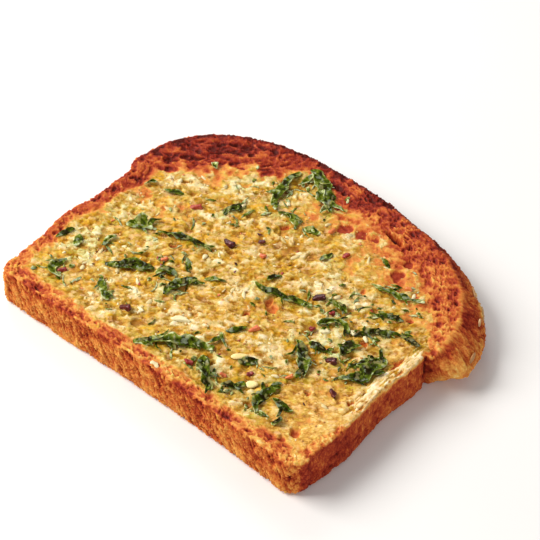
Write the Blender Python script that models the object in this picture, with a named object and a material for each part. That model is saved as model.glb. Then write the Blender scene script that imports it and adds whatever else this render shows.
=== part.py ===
"""A thick slice of garlic toast, lying flat with its spread side up.

The slice is one solid of bread: a straight base edge, two nearly straight sides, a waist where
the loaf rose out of its tin, and a domed end whose crust leans outward. Its top has the pores
and pits of open crumb, and chilli flakes, seeds, garlic and scraps of herb are fused to it.
The larger herb leaves are thin wavy solids of their own, laid just clear of the crumb.

All dimensions are in millimetres. In the working frame x runs along the base edge from its
middle, y runs from the base edge to the dome, and z = 0 is the level of the top rim. The
finished part has its origin at the middle of the underside.
"""
import math
from random import Random

import bmesh
import bpy
import numpy as np
from mathutils import Matrix, Vector, noise
from mathutils.geometry import delaunay_2d_cdt

MM = 0.001

# Slice outline
HALF_WIDTH = 57.7
LEFT_CORNER = 3.2
RIGHT_CORNER = 5.5
BASE_WAVE = 0.9
SIDE_WAVE = 0.6
SIDE_WAVE_LENGTH = 34.0
LEFT_SWELL = 1.9
LEFT_SWELL_Y = 28.0
WAIST_Y = 58.0
DOME_HALF_WIDTH = 60.2
DOME_RISE = 41.0
DOME_POWER = 2.43
THICKNESS = 13.2

# Crust: how far its wall stands out from the top rim, and how rough it is
SIDE_BULGE = 0.4
DOME_BULGE = 4.2
RIGHT_SHOULDER_BULGE = 9.0
LEFT_SHOULDER_BULGE = 2.4
WAIST_CREASE = 1.5
DOME_LIFT = 0.7
CRAG_BASE = 0.75
CRAG_DOME = 0.55
CRAG_SIZE = 3.1
RIM_INSET = 0.9

# Crumb
SAG = 0.7
SAG_WIDTH = 13.0
ROLL = 0.3
ROLL_SIZE = 19.0
PORE_COUNT = 64
PORE_RADIUS = (1.3, 2.9)
PORE_CLEARANCE = 1.1

# Mesh
RING_COUNT = 168
CRUMB_SPACING = 2.75
WALL_DEPTHS = (0.0, 0.05, 0.2, 0.42, 0.66, 0.88, 1.0)
WALL_INSETS = (RIM_INSET, 0.25, 0.0, 0.0, 0.0, 0.1, 0.8)
RIM_DEPTH = 0.1

# The middle of the finished part in the working frame
MIDDLE_X = 3.6
MIDDLE_Y = 50.9

LEAF_GAP = 0.32
LEAF_THICKNESS = 0.45
LEAF_CELLS_ACROSS = 3
LEAF_STATION = 1.9

# Herb leaves: middle x and y, heading of the midrib there, length, turn of the midrib, width
HERB_LEAVES = (
    (-39.5, 41.3, 28, 9.5, -110, 4.0),
    (-24.5, 45.7, 16, 18.5, -42, 2.1),
    (-30.0, 26.3, 33, 15.0, -24, 2.9),
    (-19.8, 31.6, 36, 7.0, -115, 2.5),
    (-14.2, 30.0, 73, 12.5, -75, 3.2),
    (-46.0, 10.3, -60, 10.5, 160, 2.8),
    (-29.2, 14.0, -38, 10.0, 17, 2.9),
    (0.6, 12.4, 37, 24.0, -28, 4.1),
    (15.6, 9.7, -38, 12.5, 4, 4.0),
    (24.4, 11.3, 45, 7.5, 50, 3.2),
    (32.8, 14.4, 96, 14.5, -70, 3.0),
    (39.4, 15.2, -1, 7.5, 30, 3.0),
    (32.1, 32.6, -43, 14.5, -20, 3.8),
    (33.6, 39.2, 8, 8.0, 0, 2.4),
    (30.8, 50.0, 20, 12.0, -135, 2.5),
    (39.2, 44.2, 102, 6.5, 12, 4.0),
    (50.0, 40.3, 72, 17.0, 92, 4.0),
    (46.4, 43.0, 61, 9.0, 30, 3.0),
    (44.8, 56.8, 29, 21.0, -80, 2.4),
    (12.2, 47.1, 12, 19.5, 27, 2.6),
    (27.2, 55.9, -4, 7.5, -60, 2.4),
    (37.2, 70.6, 15, 17.5, 19, 2.4),
    (40.2, 61.9, 26, 10.5, -28, 2.2),
    (-6.9, 89.6, -33, 19.0, -18, 5.0),
    (-17.0, 82.2, -80, 17.5, 27, 3.2),
    (-7.1, 74.3, -5, 9.0, -90, 2.5),
    (-23.0, 65.1, 67, 8.5, -80, 2.8),
)

# Scraps of herb fused to the crumb: middle x and y, heading, length, width
HERB_SCRAPS = (
    (41.9, 9.9, 100, 4.2, 2.2),
    (1.4, 74.2, 18, 5.5, 2.0),
    (-41.0, 57.8, 25, 6.5, 2.2),
    (-49.2, 56.5, 61, 4.0, 1.5),
    (11.8, 68.4, 85, 5.2, 1.6),
    (26.2, 78.5, -22, 5.0, 1.4),
    (5.5, 51.5, 62, 4.8, 1.6),
    (-7.0, 39.0, 36, 6.5, 1.4),
    (11.1, 28.1, 52, 6.5, 1.4),
    (10.4, 22.4, -34, 6.0, 1.5),
    (21.2, 21.6, 55, 6.0, 1.9),
    (-53.6, 22.6, 74, 6.5, 1.7),
    (-48.6, 23.1, -58, 5.0, 1.8),
    (-41.6, 29.6, 87, 5.5, 1.6),
    (-17.4, 38.0, -42, 5.2, 1.4),
    (-39.6, 75.0, -25, 3.4, 1.9),
)

# Chilli flakes: x, y, heading, radius
CHILLI_FLAKES = (
    (-18.8, 12.8, 20, 2.1),
    (-43.2, 11.2, 60, 1.4),
    (-13.5, 53.0, 10, 1.9),
    (-6.9, 60.2, 40, 1.1),
    (15.7, 72.9, 80, 1.3),
    (-2.8, 55.9, 0, 1.3),
    (-31.1, 57.7, 50, 1.8),
    (20.9, 54.2, 30, 1.7),
    (27.6, 51.9, 70, 1.2),
    (41.4, 36.0, 15, 2.0),
    (47.7, 27.8, 0, 1.8),
    (24.9, 18.0, 55, 1.2),
    (9.1, 9.4, 35, 1.5),
    (14.6, 32.1, 65, 1.6),
    (19.4, 12.7, 25, 1.1),
    (34.1, 24.9, 45, 1.2),
    (27.0, 43.3, 0, 1.2),
    (-23.8, 34.9, 40, 1.2),
    (6.0, 78.1, 85, 1.5),
    (38.3, 75.0, 30, 1.2),
)

# Chilli seeds: x, y, heading, length, width
SEEDS = (
    (29.0, 17.6, 40, 3.6, 2.6),
    (18.7, 24.8, 50, 5.4, 2.0),
    (-24.6, 37.4, 65, 4.2, 1.7),
)

# Open pits in the crumb and rim: x, y, radius, depth
PITS = (
    (12.5, 43.0, 2.0, 1.7),
    (8.5, 35.5, 1.3, 1.3),
    (-26.0, 41.0, 1.3, 1.2),
    (-6.1, 70.1, 1.8, 1.3),
    (7.9, 82.1, 1.8, 1.2),
    (12.6, 84.0, 1.5, 1.1),
    (32.1, 77.1, 2.0, 0.7),
    (31.7, 83.0, 1.4, 1.2),
    (48.1, 11.0, 1.8, 1.3),
    (46.9, 6.4, 1.1, 1.0),
    (53.2, 29.1, 1.2, 1.3),
    (41.2, 24.0, 1.2, 1.2),
    (41.6, 49.4, 1.3, 1.2),
    (46.3, 65.6, 1.4, 1.1),
    (53.6, 49.6, 1.6, 1.6),
    (23.0, 86.2, 1.5, 1.5),
)

# Garlic granules are scattered; oat flakes sit on the right shoulder's crust
GARLIC_COUNT = 26
GARLIC_SIZE = (0.8, 1.4)
OAT_FLAKES = 5
OAT_LENGTH = 5.0
OAT_WIDTH = 3.2

CRUST_COLOUR = (0.52, 0.23, 0.06)
HERB_COLOUR = (0.035, 0.11, 0.02)


def smooth_step(value, low, high):
    t = min(max((value - low) / (high - low), 0.0), 1.0)
    return t * t * (3.0 - 2.0 * t)


def bump(value, middle, width):
    return math.exp(-(((value - middle) / width) ** 2))


def clear_scene():
    for item in list(bpy.data.objects):
        bpy.data.objects.remove(item)


def finish_material(name, colour, roughness):
    material = bpy.data.materials.new(name)
    material.use_nodes = True
    shader = material.node_tree.nodes["Principled BSDF"]
    shader.inputs["Base Color"].default_value = (*colour, 1.0)
    shader.inputs["Roughness"].default_value = roughness
    shader.inputs["Metallic"].default_value = 0.0
    return material


def new_object(name, mesh, material):
    item = bpy.data.objects.new(name, mesh)
    item.data.materials.append(material)
    bpy.context.scene.collection.objects.link(item)
    return item


def to_part(x, y, z):
    """A point of the working frame, in metres from the middle of the underside."""
    return Vector((x - MIDDLE_X, y - MIDDLE_Y, z + THICKNESS)) * MM


# ---------------------------------------------------------------- the slice's outline


def side_x(y):
    return HALF_WIDTH + SIDE_WAVE * math.sin(2 * math.pi * (y - 12.0) / SIDE_WAVE_LENGTH)


def base_y(x):
    return BASE_WAVE * math.sin(math.pi * (x + 20.0) / 70.0)


def base_point(t):
    left, right = LEFT_CORNER - HALF_WIDTH, HALF_WIDTH - RIGHT_CORNER
    x = left + (right - left) * t
    return x, base_y(x)


def right_side_point(t):
    y = RIGHT_CORNER + (WAIST_Y - RIGHT_CORNER) * t
    return side_x(y), y


def left_side_point(t):
    y = LEFT_CORNER + (WAIST_Y - LEFT_CORNER) * (1.0 - t)
    return -HALF_WIDTH - LEFT_SWELL * bump(y, LEFT_SWELL_Y, 8.0), y


def dome_point(t):
    """The dome is half a superellipse, a little flattened where its top dips."""
    angle = math.pi * t
    c, s = math.cos(angle), math.sin(angle)
    x = math.copysign(abs(c) ** (2.0 / DOME_POWER), c) * DOME_HALF_WIDTH
    x += 0.6 * smooth_step(-x, 20.0, DOME_HALF_WIDTH)
    y = WAIST_Y + s ** (2.0 / DOME_POWER) * DOME_RISE - 1.0 * bump(x, 22.0, 8.0)
    return x, y


def corner_point(side, radius, t):
    """Quarter arc from the base edge up to a side (side is 1 on the right, -1 on the left)."""
    angle = math.pi / 2 * (t if side > 0 else 1.0 - t)
    start = side * (HALF_WIDTH - radius)
    y = base_y(start) * math.cos(angle) + radius * (1.0 - math.cos(angle))
    return start + side * radius * math.sin(angle), y


def top_outline(count):
    """Evenly spaced points of the top rim, counter-clockwise, with their outward normals."""
    stretches = (
        (base_point, 120),
        (lambda t: corner_point(1, RIGHT_CORNER, t), 30),
        (right_side_point, 90),
        (dome_point, 400),
        (left_side_point, 90),
        (lambda t: corner_point(-1, LEFT_CORNER, t), 30),
    )
    path = []
    for shape, steps in stretches:
        path += [shape((i + 0.5) / steps) for i in range(steps)]
    path = np.array(path)
    closed = np.vstack([path, path[:1]])
    travelled = np.r_[0.0, np.cumsum(np.linalg.norm(np.diff(closed, axis=0), axis=1))]
    wanted = np.linspace(0.0, travelled[-1], count, endpoint=False)
    ring = np.column_stack([np.interp(wanted, travelled, closed[:, i]) for i in (0, 1)])
    along = np.roll(ring, -2, axis=0) - np.roll(ring, 2, axis=0)
    along /= np.linalg.norm(along, axis=1)[:, None]
    return ring, np.column_stack([along[:, 1], -along[:, 0]])


# ---------------------------------------------------------------- crust wall


def wall_bulge(x, y):
    """How far the crust stands out beyond the top rim, half way down its wall."""
    rise = smooth_step(y, WAIST_Y - 0.5, WAIST_Y + 6.0)
    shoulder = RIGHT_SHOULDER_BULGE if x > 0 else LEFT_SHOULDER_BULGE
    lean = DOME_BULGE + (shoulder - DOME_BULGE) * (abs(x) / DOME_HALF_WIDTH) ** 4
    return SIDE_BULGE + (lean - SIDE_BULGE) * rise


def bulge_profile(depth):
    """0 at the rim, 1 half way down and 0.65 at the underside (depth runs from 0 to 1)."""
    return 3.35 * depth - 2.7 * depth * depth


def crag(x, y, z, depth):
    """Roughness of the baked and torn crust, strongest on the base edge and the left side."""
    place = Vector((x, y, z)) / CRAG_SIZE
    amount = noise.noise(place) + 0.5 * noise.noise(place * 2.1)
    height = CRAG_DOME + (CRAG_BASE - CRAG_DOME) * smooth_step(WAIST_Y - y, 0.0, 20.0)
    if x > 40.0 and y > 6.0:
        height *= 0.6
    return amount * height * (0.55 + 0.45 * min(depth * 4.0, 1.0))


def wall_point(ring_point, normal, depth, inset):
    x, y = ring_point
    z = -THICKNESS * depth
    out = wall_bulge(x, y) * bulge_profile(depth) - inset
    out -= WAIST_CREASE * bump(y, WAIST_Y, 1.5) * smooth_step(depth, 0.0, 0.25)
    out += crag(x, y, z, depth)
    if depth < RIM_DEPTH:
        z += rim_lift(y, 0.0)
    return x + normal[0] * out, y + normal[1] * out, z


# ---------------------------------------------------------------- crumb surface


def rim_lift(y, edge):
    """The dome's rim is drawn up a little by the heat."""
    return DOME_LIFT * smooth_step(y, 80.0, 96.0) * math.exp(-edge / 5.0)


def distance_to_ring(x, y, ring):
    start = ring
    step = np.roll(ring, -1, axis=0) - ring
    offset = np.array((x, y)) - start
    along = np.clip((offset * step).sum(1) / (step * step).sum(1), 0.0, 1.0)
    return float(np.linalg.norm(offset - along[:, None] * step, axis=1).min())


def crumb_level(x, y, edge):
    """Level of the crumb between its pores: sunk a little inside the rim and gently rolling."""
    roll = ROLL * noise.noise(Vector((x, y, 7.0)) / ROLL_SIZE)
    level = -SAG * smooth_step(edge, 0.0, SAG_WIDTH) + roll * smooth_step(edge, 1.0, 6.0)
    return level + rim_lift(y, edge)


def level_at(x, y, ring):
    return crumb_level(x, y, distance_to_ring(x, y, ring))


def scattered(rng, count, keep_clear, margin, ring, edge_margin):
    """Seeded random places inside the outline, clear of the circles (x, y, radius) given."""
    places = []
    taken = list(keep_clear)
    while len(places) < count:
        x = rng.uniform(-HALF_WIDTH, HALF_WIDTH)
        y = rng.uniform(3.0, WAIST_Y + DOME_RISE)
        radius = rng.uniform(*margin)
        inside = y < WAIST_Y or (abs(x) / DOME_HALF_WIDTH) ** DOME_POWER + (
            (y - WAIST_Y) / DOME_RISE
        ) ** DOME_POWER < 1.0
        if not inside or distance_to_ring(x, y, ring) < edge_margin + radius:
            continue
        if any(math.hypot(x - a, y - b) < radius + r for a, b, r in taken):
            continue
        places.append((x, y, radius))
        taken.append((x, y, radius))
    return places


def leaf_midrib(leaf, stations):
    """Points and headings along a leaf's midrib, an arc through the leaf's middle."""
    x, y, heading, length, turn, _ = leaf
    heading, turn = math.radians(heading), math.radians(turn)
    points = []
    steps = 24
    half = [(0.0, 0.0)]
    for sign in (-1, 1):
        px, py = 0.0, 0.0
        run = []
        for i in range(steps):
            t = (i + 0.5) / steps * 0.5 * sign
            px += sign * math.cos(heading + turn * t) * length / (2 * steps)
            py += sign * math.sin(heading + turn * t) * length / (2 * steps)
            run.append((px, py))
        half = run[::-1] + half if sign < 0 else half + run
    for i in range(stations):
        t = i / (stations - 1)
        px, py = half[round(t * (len(half) - 1))]
        points.append((x + px, y + py, heading + turn * (t - 0.5)))
    return points


def topping_circles():
    """Circles that cover every placed topping, for keeping pores and granules off them."""
    circles = []
    for leaf in HERB_LEAVES:
        for x, y, _ in leaf_midrib(leaf, 9):
            circles.append((x, y, leaf[5] * 0.5 + 0.7))
    for x, y, heading, length, width in HERB_SCRAPS:
        for t in (-0.33, 0.0, 0.33):
            a = math.radians(heading)
            circles.append((x + math.cos(a) * length * t, y + math.sin(a) * length * t, width))
    circles += [(x, y, radius + 0.6) for x, y, _, radius in CHILLI_FLAKES]
    circles += [(x, y, length * 0.5 + 0.5) for x, y, _, length, _ in SEEDS]
    return circles


def pore_points(pore, ring, sides):
    """A pore's rim, floor ring and deepest point, in the working frame."""
    x, y, radius, depth = pore
    points = []
    for share, drop in ((1.0, 0.0), (0.62, 0.8), (0.0, 1.0)):
        for i in range(sides if share else 1):
            a = 2 * math.pi * (i + 0.5 * (share < 1.0)) / sides
            r = radius * share * (1.0 + 0.14 * math.sin(3 * a + x))
            px, py = x + r * math.cos(a), y + r * math.sin(a)
            points.append((px, py, level_at(px, py, ring) - depth * drop))
    return points


def crumb_points(ring, pores):
    """Triangular lattice of crumb points, opened where the pores put their own points."""
    points = []
    row_height = CRUMB_SPACING * math.sqrt(3) / 2
    rows = int((WAIST_Y + DOME_RISE) / row_height) + 1
    columns = int(2 * DOME_HALF_WIDTH / CRUMB_SPACING) + 2
    for row in range(rows):
        for column in range(columns):
            x = -DOME_HALF_WIDTH + (column + 0.5 * (row % 2)) * CRUMB_SPACING
            y = 2.0 + row * row_height
            place = Vector((x, y, 3.0)) * 0.9
            x += 0.4 * noise.noise(place)
            y += 0.4 * noise.noise(place + Vector((0.0, 0.0, 9.0)))
            half = (y - WAIST_Y) / DOME_RISE
            if y > WAIST_Y and (abs(x) / DOME_HALF_WIDTH) ** DOME_POWER + half**DOME_POWER > 1:
                continue
            if abs(x) > DOME_HALF_WIDTH or distance_to_ring(x, y, ring) < RIM_INSET + 1.2:
                continue
            if y < WAIST_Y and abs(x) > side_x(y) + 0.5:
                continue
            if any(math.hypot(x - p[0], y - p[1]) < p[2] + PORE_CLEARANCE for p in pores):
                continue
            points.append((x, y, level_at(x, y, ring)))
    for pore in pores:
        points += pore_points(pore, ring, 8 if pore[2] > 1.7 else 6)
    return points


# ---------------------------------------------------------------- bread


def make_bread_mesh(name, ring, normals, pores):
    mesh = bmesh.new()
    rows = []
    for depth, inset in zip(WALL_DEPTHS, WALL_INSETS):
        row = [wall_point(p, n, depth, inset) for p, n in zip(ring, normals)]
        rows.append([mesh.verts.new(to_part(*p)) for p in row])
        if depth == 0.0:
            rim = row
    count = len(ring)
    for upper, lower in zip(rows, rows[1:]):
        for i in range(count):
            j = (i + 1) % count
            mesh.faces.new((upper[i], lower[i], lower[j], upper[j]))
    mesh.faces.new(rows[-1][::-1])

    inner = crumb_points(ring, pores)
    flat = [Vector(p[:2]) for p in rim] + [Vector(p[:2]) for p in inner]
    edges = [(i, (i + 1) % count) for i in range(count)]
    _, _, triangles, sources, _, _ = delaunay_2d_cdt(flat, edges, [], 1, 1e-5)
    crumb_verts = rows[0] + [mesh.verts.new(to_part(*p)) for p in inner]
    for triangle in triangles:
        mesh.faces.new([crumb_verts[sources[i][0]] for i in triangle])
    bmesh.ops.triangulate(mesh, faces=[f for f in mesh.faces if len(f.verts) > 3])
    bmesh.ops.recalc_face_normals(mesh, faces=mesh.faces)
    data = bpy.data.meshes.new(name)
    mesh.to_mesh(data)
    mesh.free()
    return data


def topping_mesh(name, kind, rng):
    """A small unit topping, about 2 across: a rough disc, a smooth oval, a lump or a strip."""
    mesh = bmesh.new()
    if kind in ("flake", "scrap"):
        sides = 6 if kind == "flake" else 8
        bmesh.ops.create_cone(
            mesh, cap_ends=True, segments=sides, radius1=1.0, radius2=0.8, depth=2.0
        )
        jitter = 0.16 if kind == "flake" else 0.1
    else:
        bmesh.ops.create_icosphere(mesh, subdivisions=1, radius=1.0)
        jitter = 0.0 if kind == "seed" else 0.18
    for vert in mesh.verts:
        vert.co += Vector([rng.uniform(-jitter, jitter) for _ in range(3)])
    bmesh.ops.triangulate(mesh, faces=mesh.faces)
    data = bpy.data.meshes.new(name)
    mesh.to_mesh(data)
    mesh.free()
    return data


def add_topping(collection, kind, rng, place, heading, size, lift, tilt=0.0):
    """One topping of the given half sizes, sunk into the bread by all but its lift."""
    name = f"{kind}_{len(collection.objects)}"
    item = bpy.data.objects.new(name, topping_mesh(name, kind, rng))
    centre = to_part(place[0], place[1], place[2] + lift)
    turn = Matrix.Rotation(math.radians(heading), 4, "Z") @ Matrix.Rotation(tilt, 4, "Y")
    stretch = Matrix.Diagonal((*(Vector(size) * MM), 1.0))
    item.data.transform(Matrix.Translation(centre) @ turn @ stretch)
    collection.objects.link(item)


def add_crumb_toppings(collection, ring, rng, garlic):
    for x, y, heading, radius in CHILLI_FLAKES:
        place = (x, y, level_at(x, y, ring))
        size = (radius, radius * 0.78, 0.55)
        add_topping(collection, "flake", rng, place, heading, size, 0.15, rng.uniform(-0.2, 0.2))
    for x, y, heading, length, width in SEEDS:
        place = (x, y, level_at(x, y, ring))
        add_topping(collection, "seed", rng, place, heading, (length / 2, width / 2, 0.8), 0.25)
    for x, y, heading, length, width in HERB_SCRAPS:
        place = (x, y, level_at(x, y, ring))
        add_topping(collection, "scrap", rng, place, heading, (length / 2, width / 2, 0.5), 0.05)
    for x, y, radius in garlic:
        place = (x, y, level_at(x, y, ring))
        size = (radius, radius * 0.85, 0.75)
        add_topping(collection, "garlic", rng, place, rng.uniform(0, 360), size, 0.15)


def add_oat_flakes(collection, ring, normals, rng):
    """Oat flakes pressed flat into the right shoulder's crust, where it faces outward."""
    shoulder = [i for i, p in enumerate(ring) if p[0] > 40.0 and p[1] > WAIST_Y + 6.0]
    for k in range(OAT_FLAKES):
        i = shoulder[int((k + 0.5) * len(shoulder) / OAT_FLAKES)]
        depth = (0.35, 0.6, 0.45)[k % 3]
        x, y, z = wall_point(ring[i], normals[i], depth, 0.0)
        name = f"oat_{k}"
        item = bpy.data.objects.new(name, topping_mesh(name, "seed", rng))
        facing = Vector((normals[i][0], normals[i][1], 0.0)).to_track_quat("Z", "Y")
        spin = Matrix.Rotation(rng.uniform(0.0, math.pi), 4, "Z")
        stretch = Matrix.Diagonal((OAT_LENGTH / 2 * MM, OAT_WIDTH / 2 * MM, 0.7 * MM, 1.0))
        move = Matrix.Translation(to_part(x, y, z))
        item.data.transform(move @ facing.to_matrix().to_4x4() @ spin @ stretch)
        collection.objects.link(item)


def make_bread():
    rng = Random(23)
    ring, normals = top_outline(RING_COUNT)
    placed = topping_circles()
    pits = [(x, y, radius) for x, y, radius, _ in PITS]
    garlic = scattered(rng, GARLIC_COUNT, placed + pits, GARLIC_SIZE, ring, 5.0)
    taken = placed + pits + [(x, y, r + 0.5) for x, y, r in garlic]
    pores = list(PITS)
    for x, y, radius in scattered(rng, PORE_COUNT, taken, PORE_RADIUS, ring, 2.2):
        pores.append((x, y, radius - 0.4, rng.uniform(0.35, 0.6) * radius))

    bread = new_object(
        "toast_slice",
        make_bread_mesh("toast_slice", ring, normals, pores),
        finish_material("toasted_bread", CRUST_COLOUR, 0.75),
    )
    toppings = bpy.data.collections.new("toppings")
    bpy.context.scene.collection.children.link(toppings)
    add_crumb_toppings(toppings, ring, rng, garlic)
    add_oat_flakes(toppings, ring, normals, rng)

    union = bread.modifiers.new("toppings", "BOOLEAN")
    union.operation = "UNION"
    union.operand_type = "COLLECTION"
    union.collection = toppings
    union.solver = "EXACT"
    with bpy.context.temp_override(object=bread, active_object=bread):
        bpy.ops.object.modifier_apply(modifier=union.name)
    for item in list(toppings.objects):
        bpy.data.objects.remove(item)
    bpy.data.collections.remove(toppings)
    bread.data.shade_smooth()
    bread.data.set_sharp_from_angle(angle=math.radians(40))
    return ring


# ---------------------------------------------------------------- herb leaves


def leaf_half_width(t, width, lobes, phase):
    """Half width along the leaf: pointed ends, full middle and a lobed edge."""
    body = math.sin(math.pi * (0.06 + 0.88 * t)) ** 0.7
    return width / 2 * body * (1.0 + 0.28 * math.sin(2 * math.pi * lobes * t + phase))


def make_leaf(name, leaf, ring, material, rng):
    """A leaf's triangulated underside follows the crumb, and its upper face is the same raised."""
    _, _, _, length, _, width = leaf
    stations = max(5, round(length / LEAF_STATION))
    lobes = max(2.0, length / 4.0)
    phases = (rng.uniform(0.0, 6.0), rng.uniform(0.0, 6.0))
    wave = rng.uniform(0.0, 6.0)
    mesh = bmesh.new()
    rows = []
    for i, (x, y, heading) in enumerate(leaf_midrib(leaf, stations)):
        t = i / (stations - 1)
        sideways = Vector((-math.sin(heading), math.cos(heading)))
        row = []
        for j in range(LEAF_CELLS_ACROSS + 1):
            v = 2.0 * j / LEAF_CELLS_ACROSS - 1.0
            half = leaf_half_width(t, width, lobes, phases[v > 0])
            px, py = Vector((x, y)) + sideways * half * v
            curl = 0.35 * v * v * (1.0 + math.sin(5.0 * t + wave))
            ripple = 0.18 * (1.0 + math.sin(lobes * 5.0 * t + 2.0 * v + wave))
            z = level_at(px, py, ring) + LEAF_GAP + curl + ripple
            row.append(mesh.verts.new(to_part(px, py, z)))
        rows.append(row)
    for near, far in zip(rows, rows[1:]):
        for j in range(LEAF_CELLS_ACROSS):
            a, b, c, d = near[j], far[j], far[j + 1], near[j + 1]
            mesh.faces.new((a, b, c))
            mesh.faces.new((a, c, d))
    raised = bmesh.ops.extrude_face_region(mesh, geom=mesh.faces[:], use_keep_orig=True)
    upper = [item for item in raised["geom"] if isinstance(item, bmesh.types.BMVert)]
    bmesh.ops.translate(mesh, verts=upper, vec=(0.0, 0.0, LEAF_THICKNESS * MM))
    bmesh.ops.recalc_face_normals(mesh, faces=mesh.faces)
    data = bpy.data.meshes.new(name)
    mesh.to_mesh(data)
    mesh.free()
    return new_object(name, data, material)


def make_leaves(ring):
    rng = Random(5)
    material = finish_material("wilted_herb", HERB_COLOUR, 0.45)
    for number, leaf in enumerate(HERB_LEAVES, start=1):
        make_leaf(f"herb_leaf_{number:02d}", leaf, ring, material, rng)


clear_scene()
make_leaves(make_bread())
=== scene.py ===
from math import copysign, cos, degrees, pi, radians, sin
from random import Random

import bpy
import numpy as np
from bpy.props import FloatProperty, FloatVectorProperty, IntProperty, PointerProperty
from mathutils import Matrix, Vector, noise
from mathutils.bvhtree import BVHTree
from mathutils.kdtree import KDTree


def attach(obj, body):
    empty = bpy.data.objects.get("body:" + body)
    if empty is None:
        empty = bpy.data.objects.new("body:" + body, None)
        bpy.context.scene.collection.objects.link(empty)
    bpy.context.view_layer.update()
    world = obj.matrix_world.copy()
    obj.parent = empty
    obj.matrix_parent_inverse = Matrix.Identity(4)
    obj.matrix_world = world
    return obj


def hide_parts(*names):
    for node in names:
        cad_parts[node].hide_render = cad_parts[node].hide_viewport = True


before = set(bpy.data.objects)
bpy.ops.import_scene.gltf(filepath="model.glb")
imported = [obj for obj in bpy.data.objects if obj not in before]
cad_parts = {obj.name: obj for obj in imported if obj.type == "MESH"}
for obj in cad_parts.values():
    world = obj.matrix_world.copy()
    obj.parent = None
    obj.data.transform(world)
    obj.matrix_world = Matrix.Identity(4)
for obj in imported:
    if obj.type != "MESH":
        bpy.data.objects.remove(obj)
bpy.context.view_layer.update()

bl_info = {
    "name": "Garlic toast",
    "version": (1, 0, 0),
    "blender": (4, 5, 0),
    "location": "3D View > Sidebar > Garlic toast",
    "description": "Models and finishes a thick slice of garlic toast with herbs and chilli",
    "category": "Add Mesh",
}

MM = 0.001
BODY = "root"

# The slice, in millimetres. x runs along the base edge from its middle, y from the base edge to
# the dome, and z = 0 is the level of the top rim. The tables give headings in degrees, from x
# towards y.
MIDDLE_X, MIDDLE_Y = 3.6, 50.9
THICKNESS = 13.2
HALF_WIDTH = 57.7
LEFT_CORNER, RIGHT_CORNER = 3.2, 5.5
BASE_WAVE = 0.9
SIDE_WAVE, SIDE_WAVE_LENGTH = 0.6, 34
LEFT_SWELL, LEFT_SWELL_Y = 1.9, 28
WAIST_Y = 58
DOME_HALF_WIDTH, DOME_RISE, DOME_POWER = 60.2, 41, 2.43
DOME_LIFT = 0.7
SIDE_BULGE, DOME_BULGE = 0.4, 4.2
RIGHT_SHOULDER_BULGE, LEFT_SHOULDER_BULGE = 9, 2.4
SAG, SAG_WIDTH = 0.7, 13
ROLL, ROLL_SIZE = 0.3, 19
RING_COUNT = 900
RIM_SPAN = 8  # points each way along the rim that its direction is taken over
ARC_STEPS = 97  # points that a leaf's midrib is traced with
GRAIN_HEADING = radians(40)
FULL_TURN = 6.28

# Toppings, in millimetres: how high they lie over the crumb, and the sizes that they share
LEAF_LIFT, LEAFLET_LIFT, SCRAP_LIFT, FLECK_LIFT = 0.34, 0.5, 0.1, 0.05
FLAKE_LIFT, SPECK_LIFT, SEED_LIFT, GARLIC_LIFT = 0.35, 0.15, 0.5, 0.1
LEAF_THICKNESS, SCRAP_THICKNESS = 0.26, 0.2
LEAFLET_SPACING = 3.8
FLECK_SCATTER = 5.5
SEED_THICKNESS = 1.2
GARLIC_DRAW = 1.3
OAT_LENGTH, OAT_WIDTH, OAT_THICKNESS, OAT_SINK = 5, 3.2, 1, 0.2

# Herb leaves: middle x and y, heading of the midrib there, length, turn of the midrib, width
HERB_LEAVES = (
    (-39.5, 41.3, 28, 9.5, -110, 4), (-24.5, 45.7, 16, 18.5, -42, 2.1),
    (-30, 26.3, 33, 15, -24, 2.9), (-19.8, 31.6, 36, 7, -115, 2.5),
    (-14.2, 30, 73, 12.5, -75, 3.2), (-46, 10.3, -60, 10.5, 160, 2.8),
    (-29.2, 14, -38, 10, 17, 2.9), (0.6, 12.4, 37, 24, -28, 4.1), (15.6, 9.7, -38, 12.5, 4, 4),
    (24.4, 11.3, 45, 7.5, 50, 3.2), (32.8, 14.4, 96, 14.5, -70, 3), (39.4, 15.2, -1, 7.5, 30, 3),
    (32.1, 32.6, -43, 14.5, -20, 3.8), (33.6, 39.2, 8, 8, 0, 2.4), (30.8, 50, 20, 12, -135, 2.5),
    (39.2, 44.2, 102, 6.5, 12, 4), (50, 40.3, 72, 17, 92, 4.6), (46.4, 43, 61, 9, 30, 3),
    (44.8, 56.8, 29, 21, -80, 2.4), (12.2, 47.1, 12, 19.5, 27, 2.6),
    (27.2, 55.9, -4, 7.5, -60, 2.4), (37.2, 70.6, 15, 17.5, 19, 2.4),
    (40.2, 61.9, 26, 10.5, -28, 2.2), (-6.9, 89.6, -33, 19, -18, 5),
    (-17, 82.2, -80, 17.5, 27, 3.2), (-7.1, 74.3, -5, 9, -90, 2.5),
    (-23, 65.1, 67, 8.5, -80, 2.8),
)

# Scraps of herb: middle x and y, heading, length, width
HERB_SCRAPS = (
    (41.9, 9.9, 100, 4.2, 2.2), (1.4, 74.2, 18, 5.5, 2), (-41, 57.8, 25, 6.5, 2.2),
    (-49.2, 56.5, 61, 4, 1.5), (11.8, 68.4, 85, 5.2, 1.6), (26.2, 78.5, -22, 5, 1.4),
    (5.5, 51.5, 62, 4.8, 1.6), (-7, 39, 36, 6.5, 1.4), (11.1, 28.1, 52, 6.5, 1.4),
    (10.4, 22.4, -34, 6, 1.5), (21.2, 21.6, 55, 6, 1.9), (-53.6, 22.6, 74, 6.5, 1.7),
    (-48.6, 23.1, -58, 5, 1.8), (-41.6, 29.6, 87, 5.5, 1.6), (-17.4, 38, -42, 5.2, 1.4),
    (-39.6, 75, -25, 3.4, 1.9),
)

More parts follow.
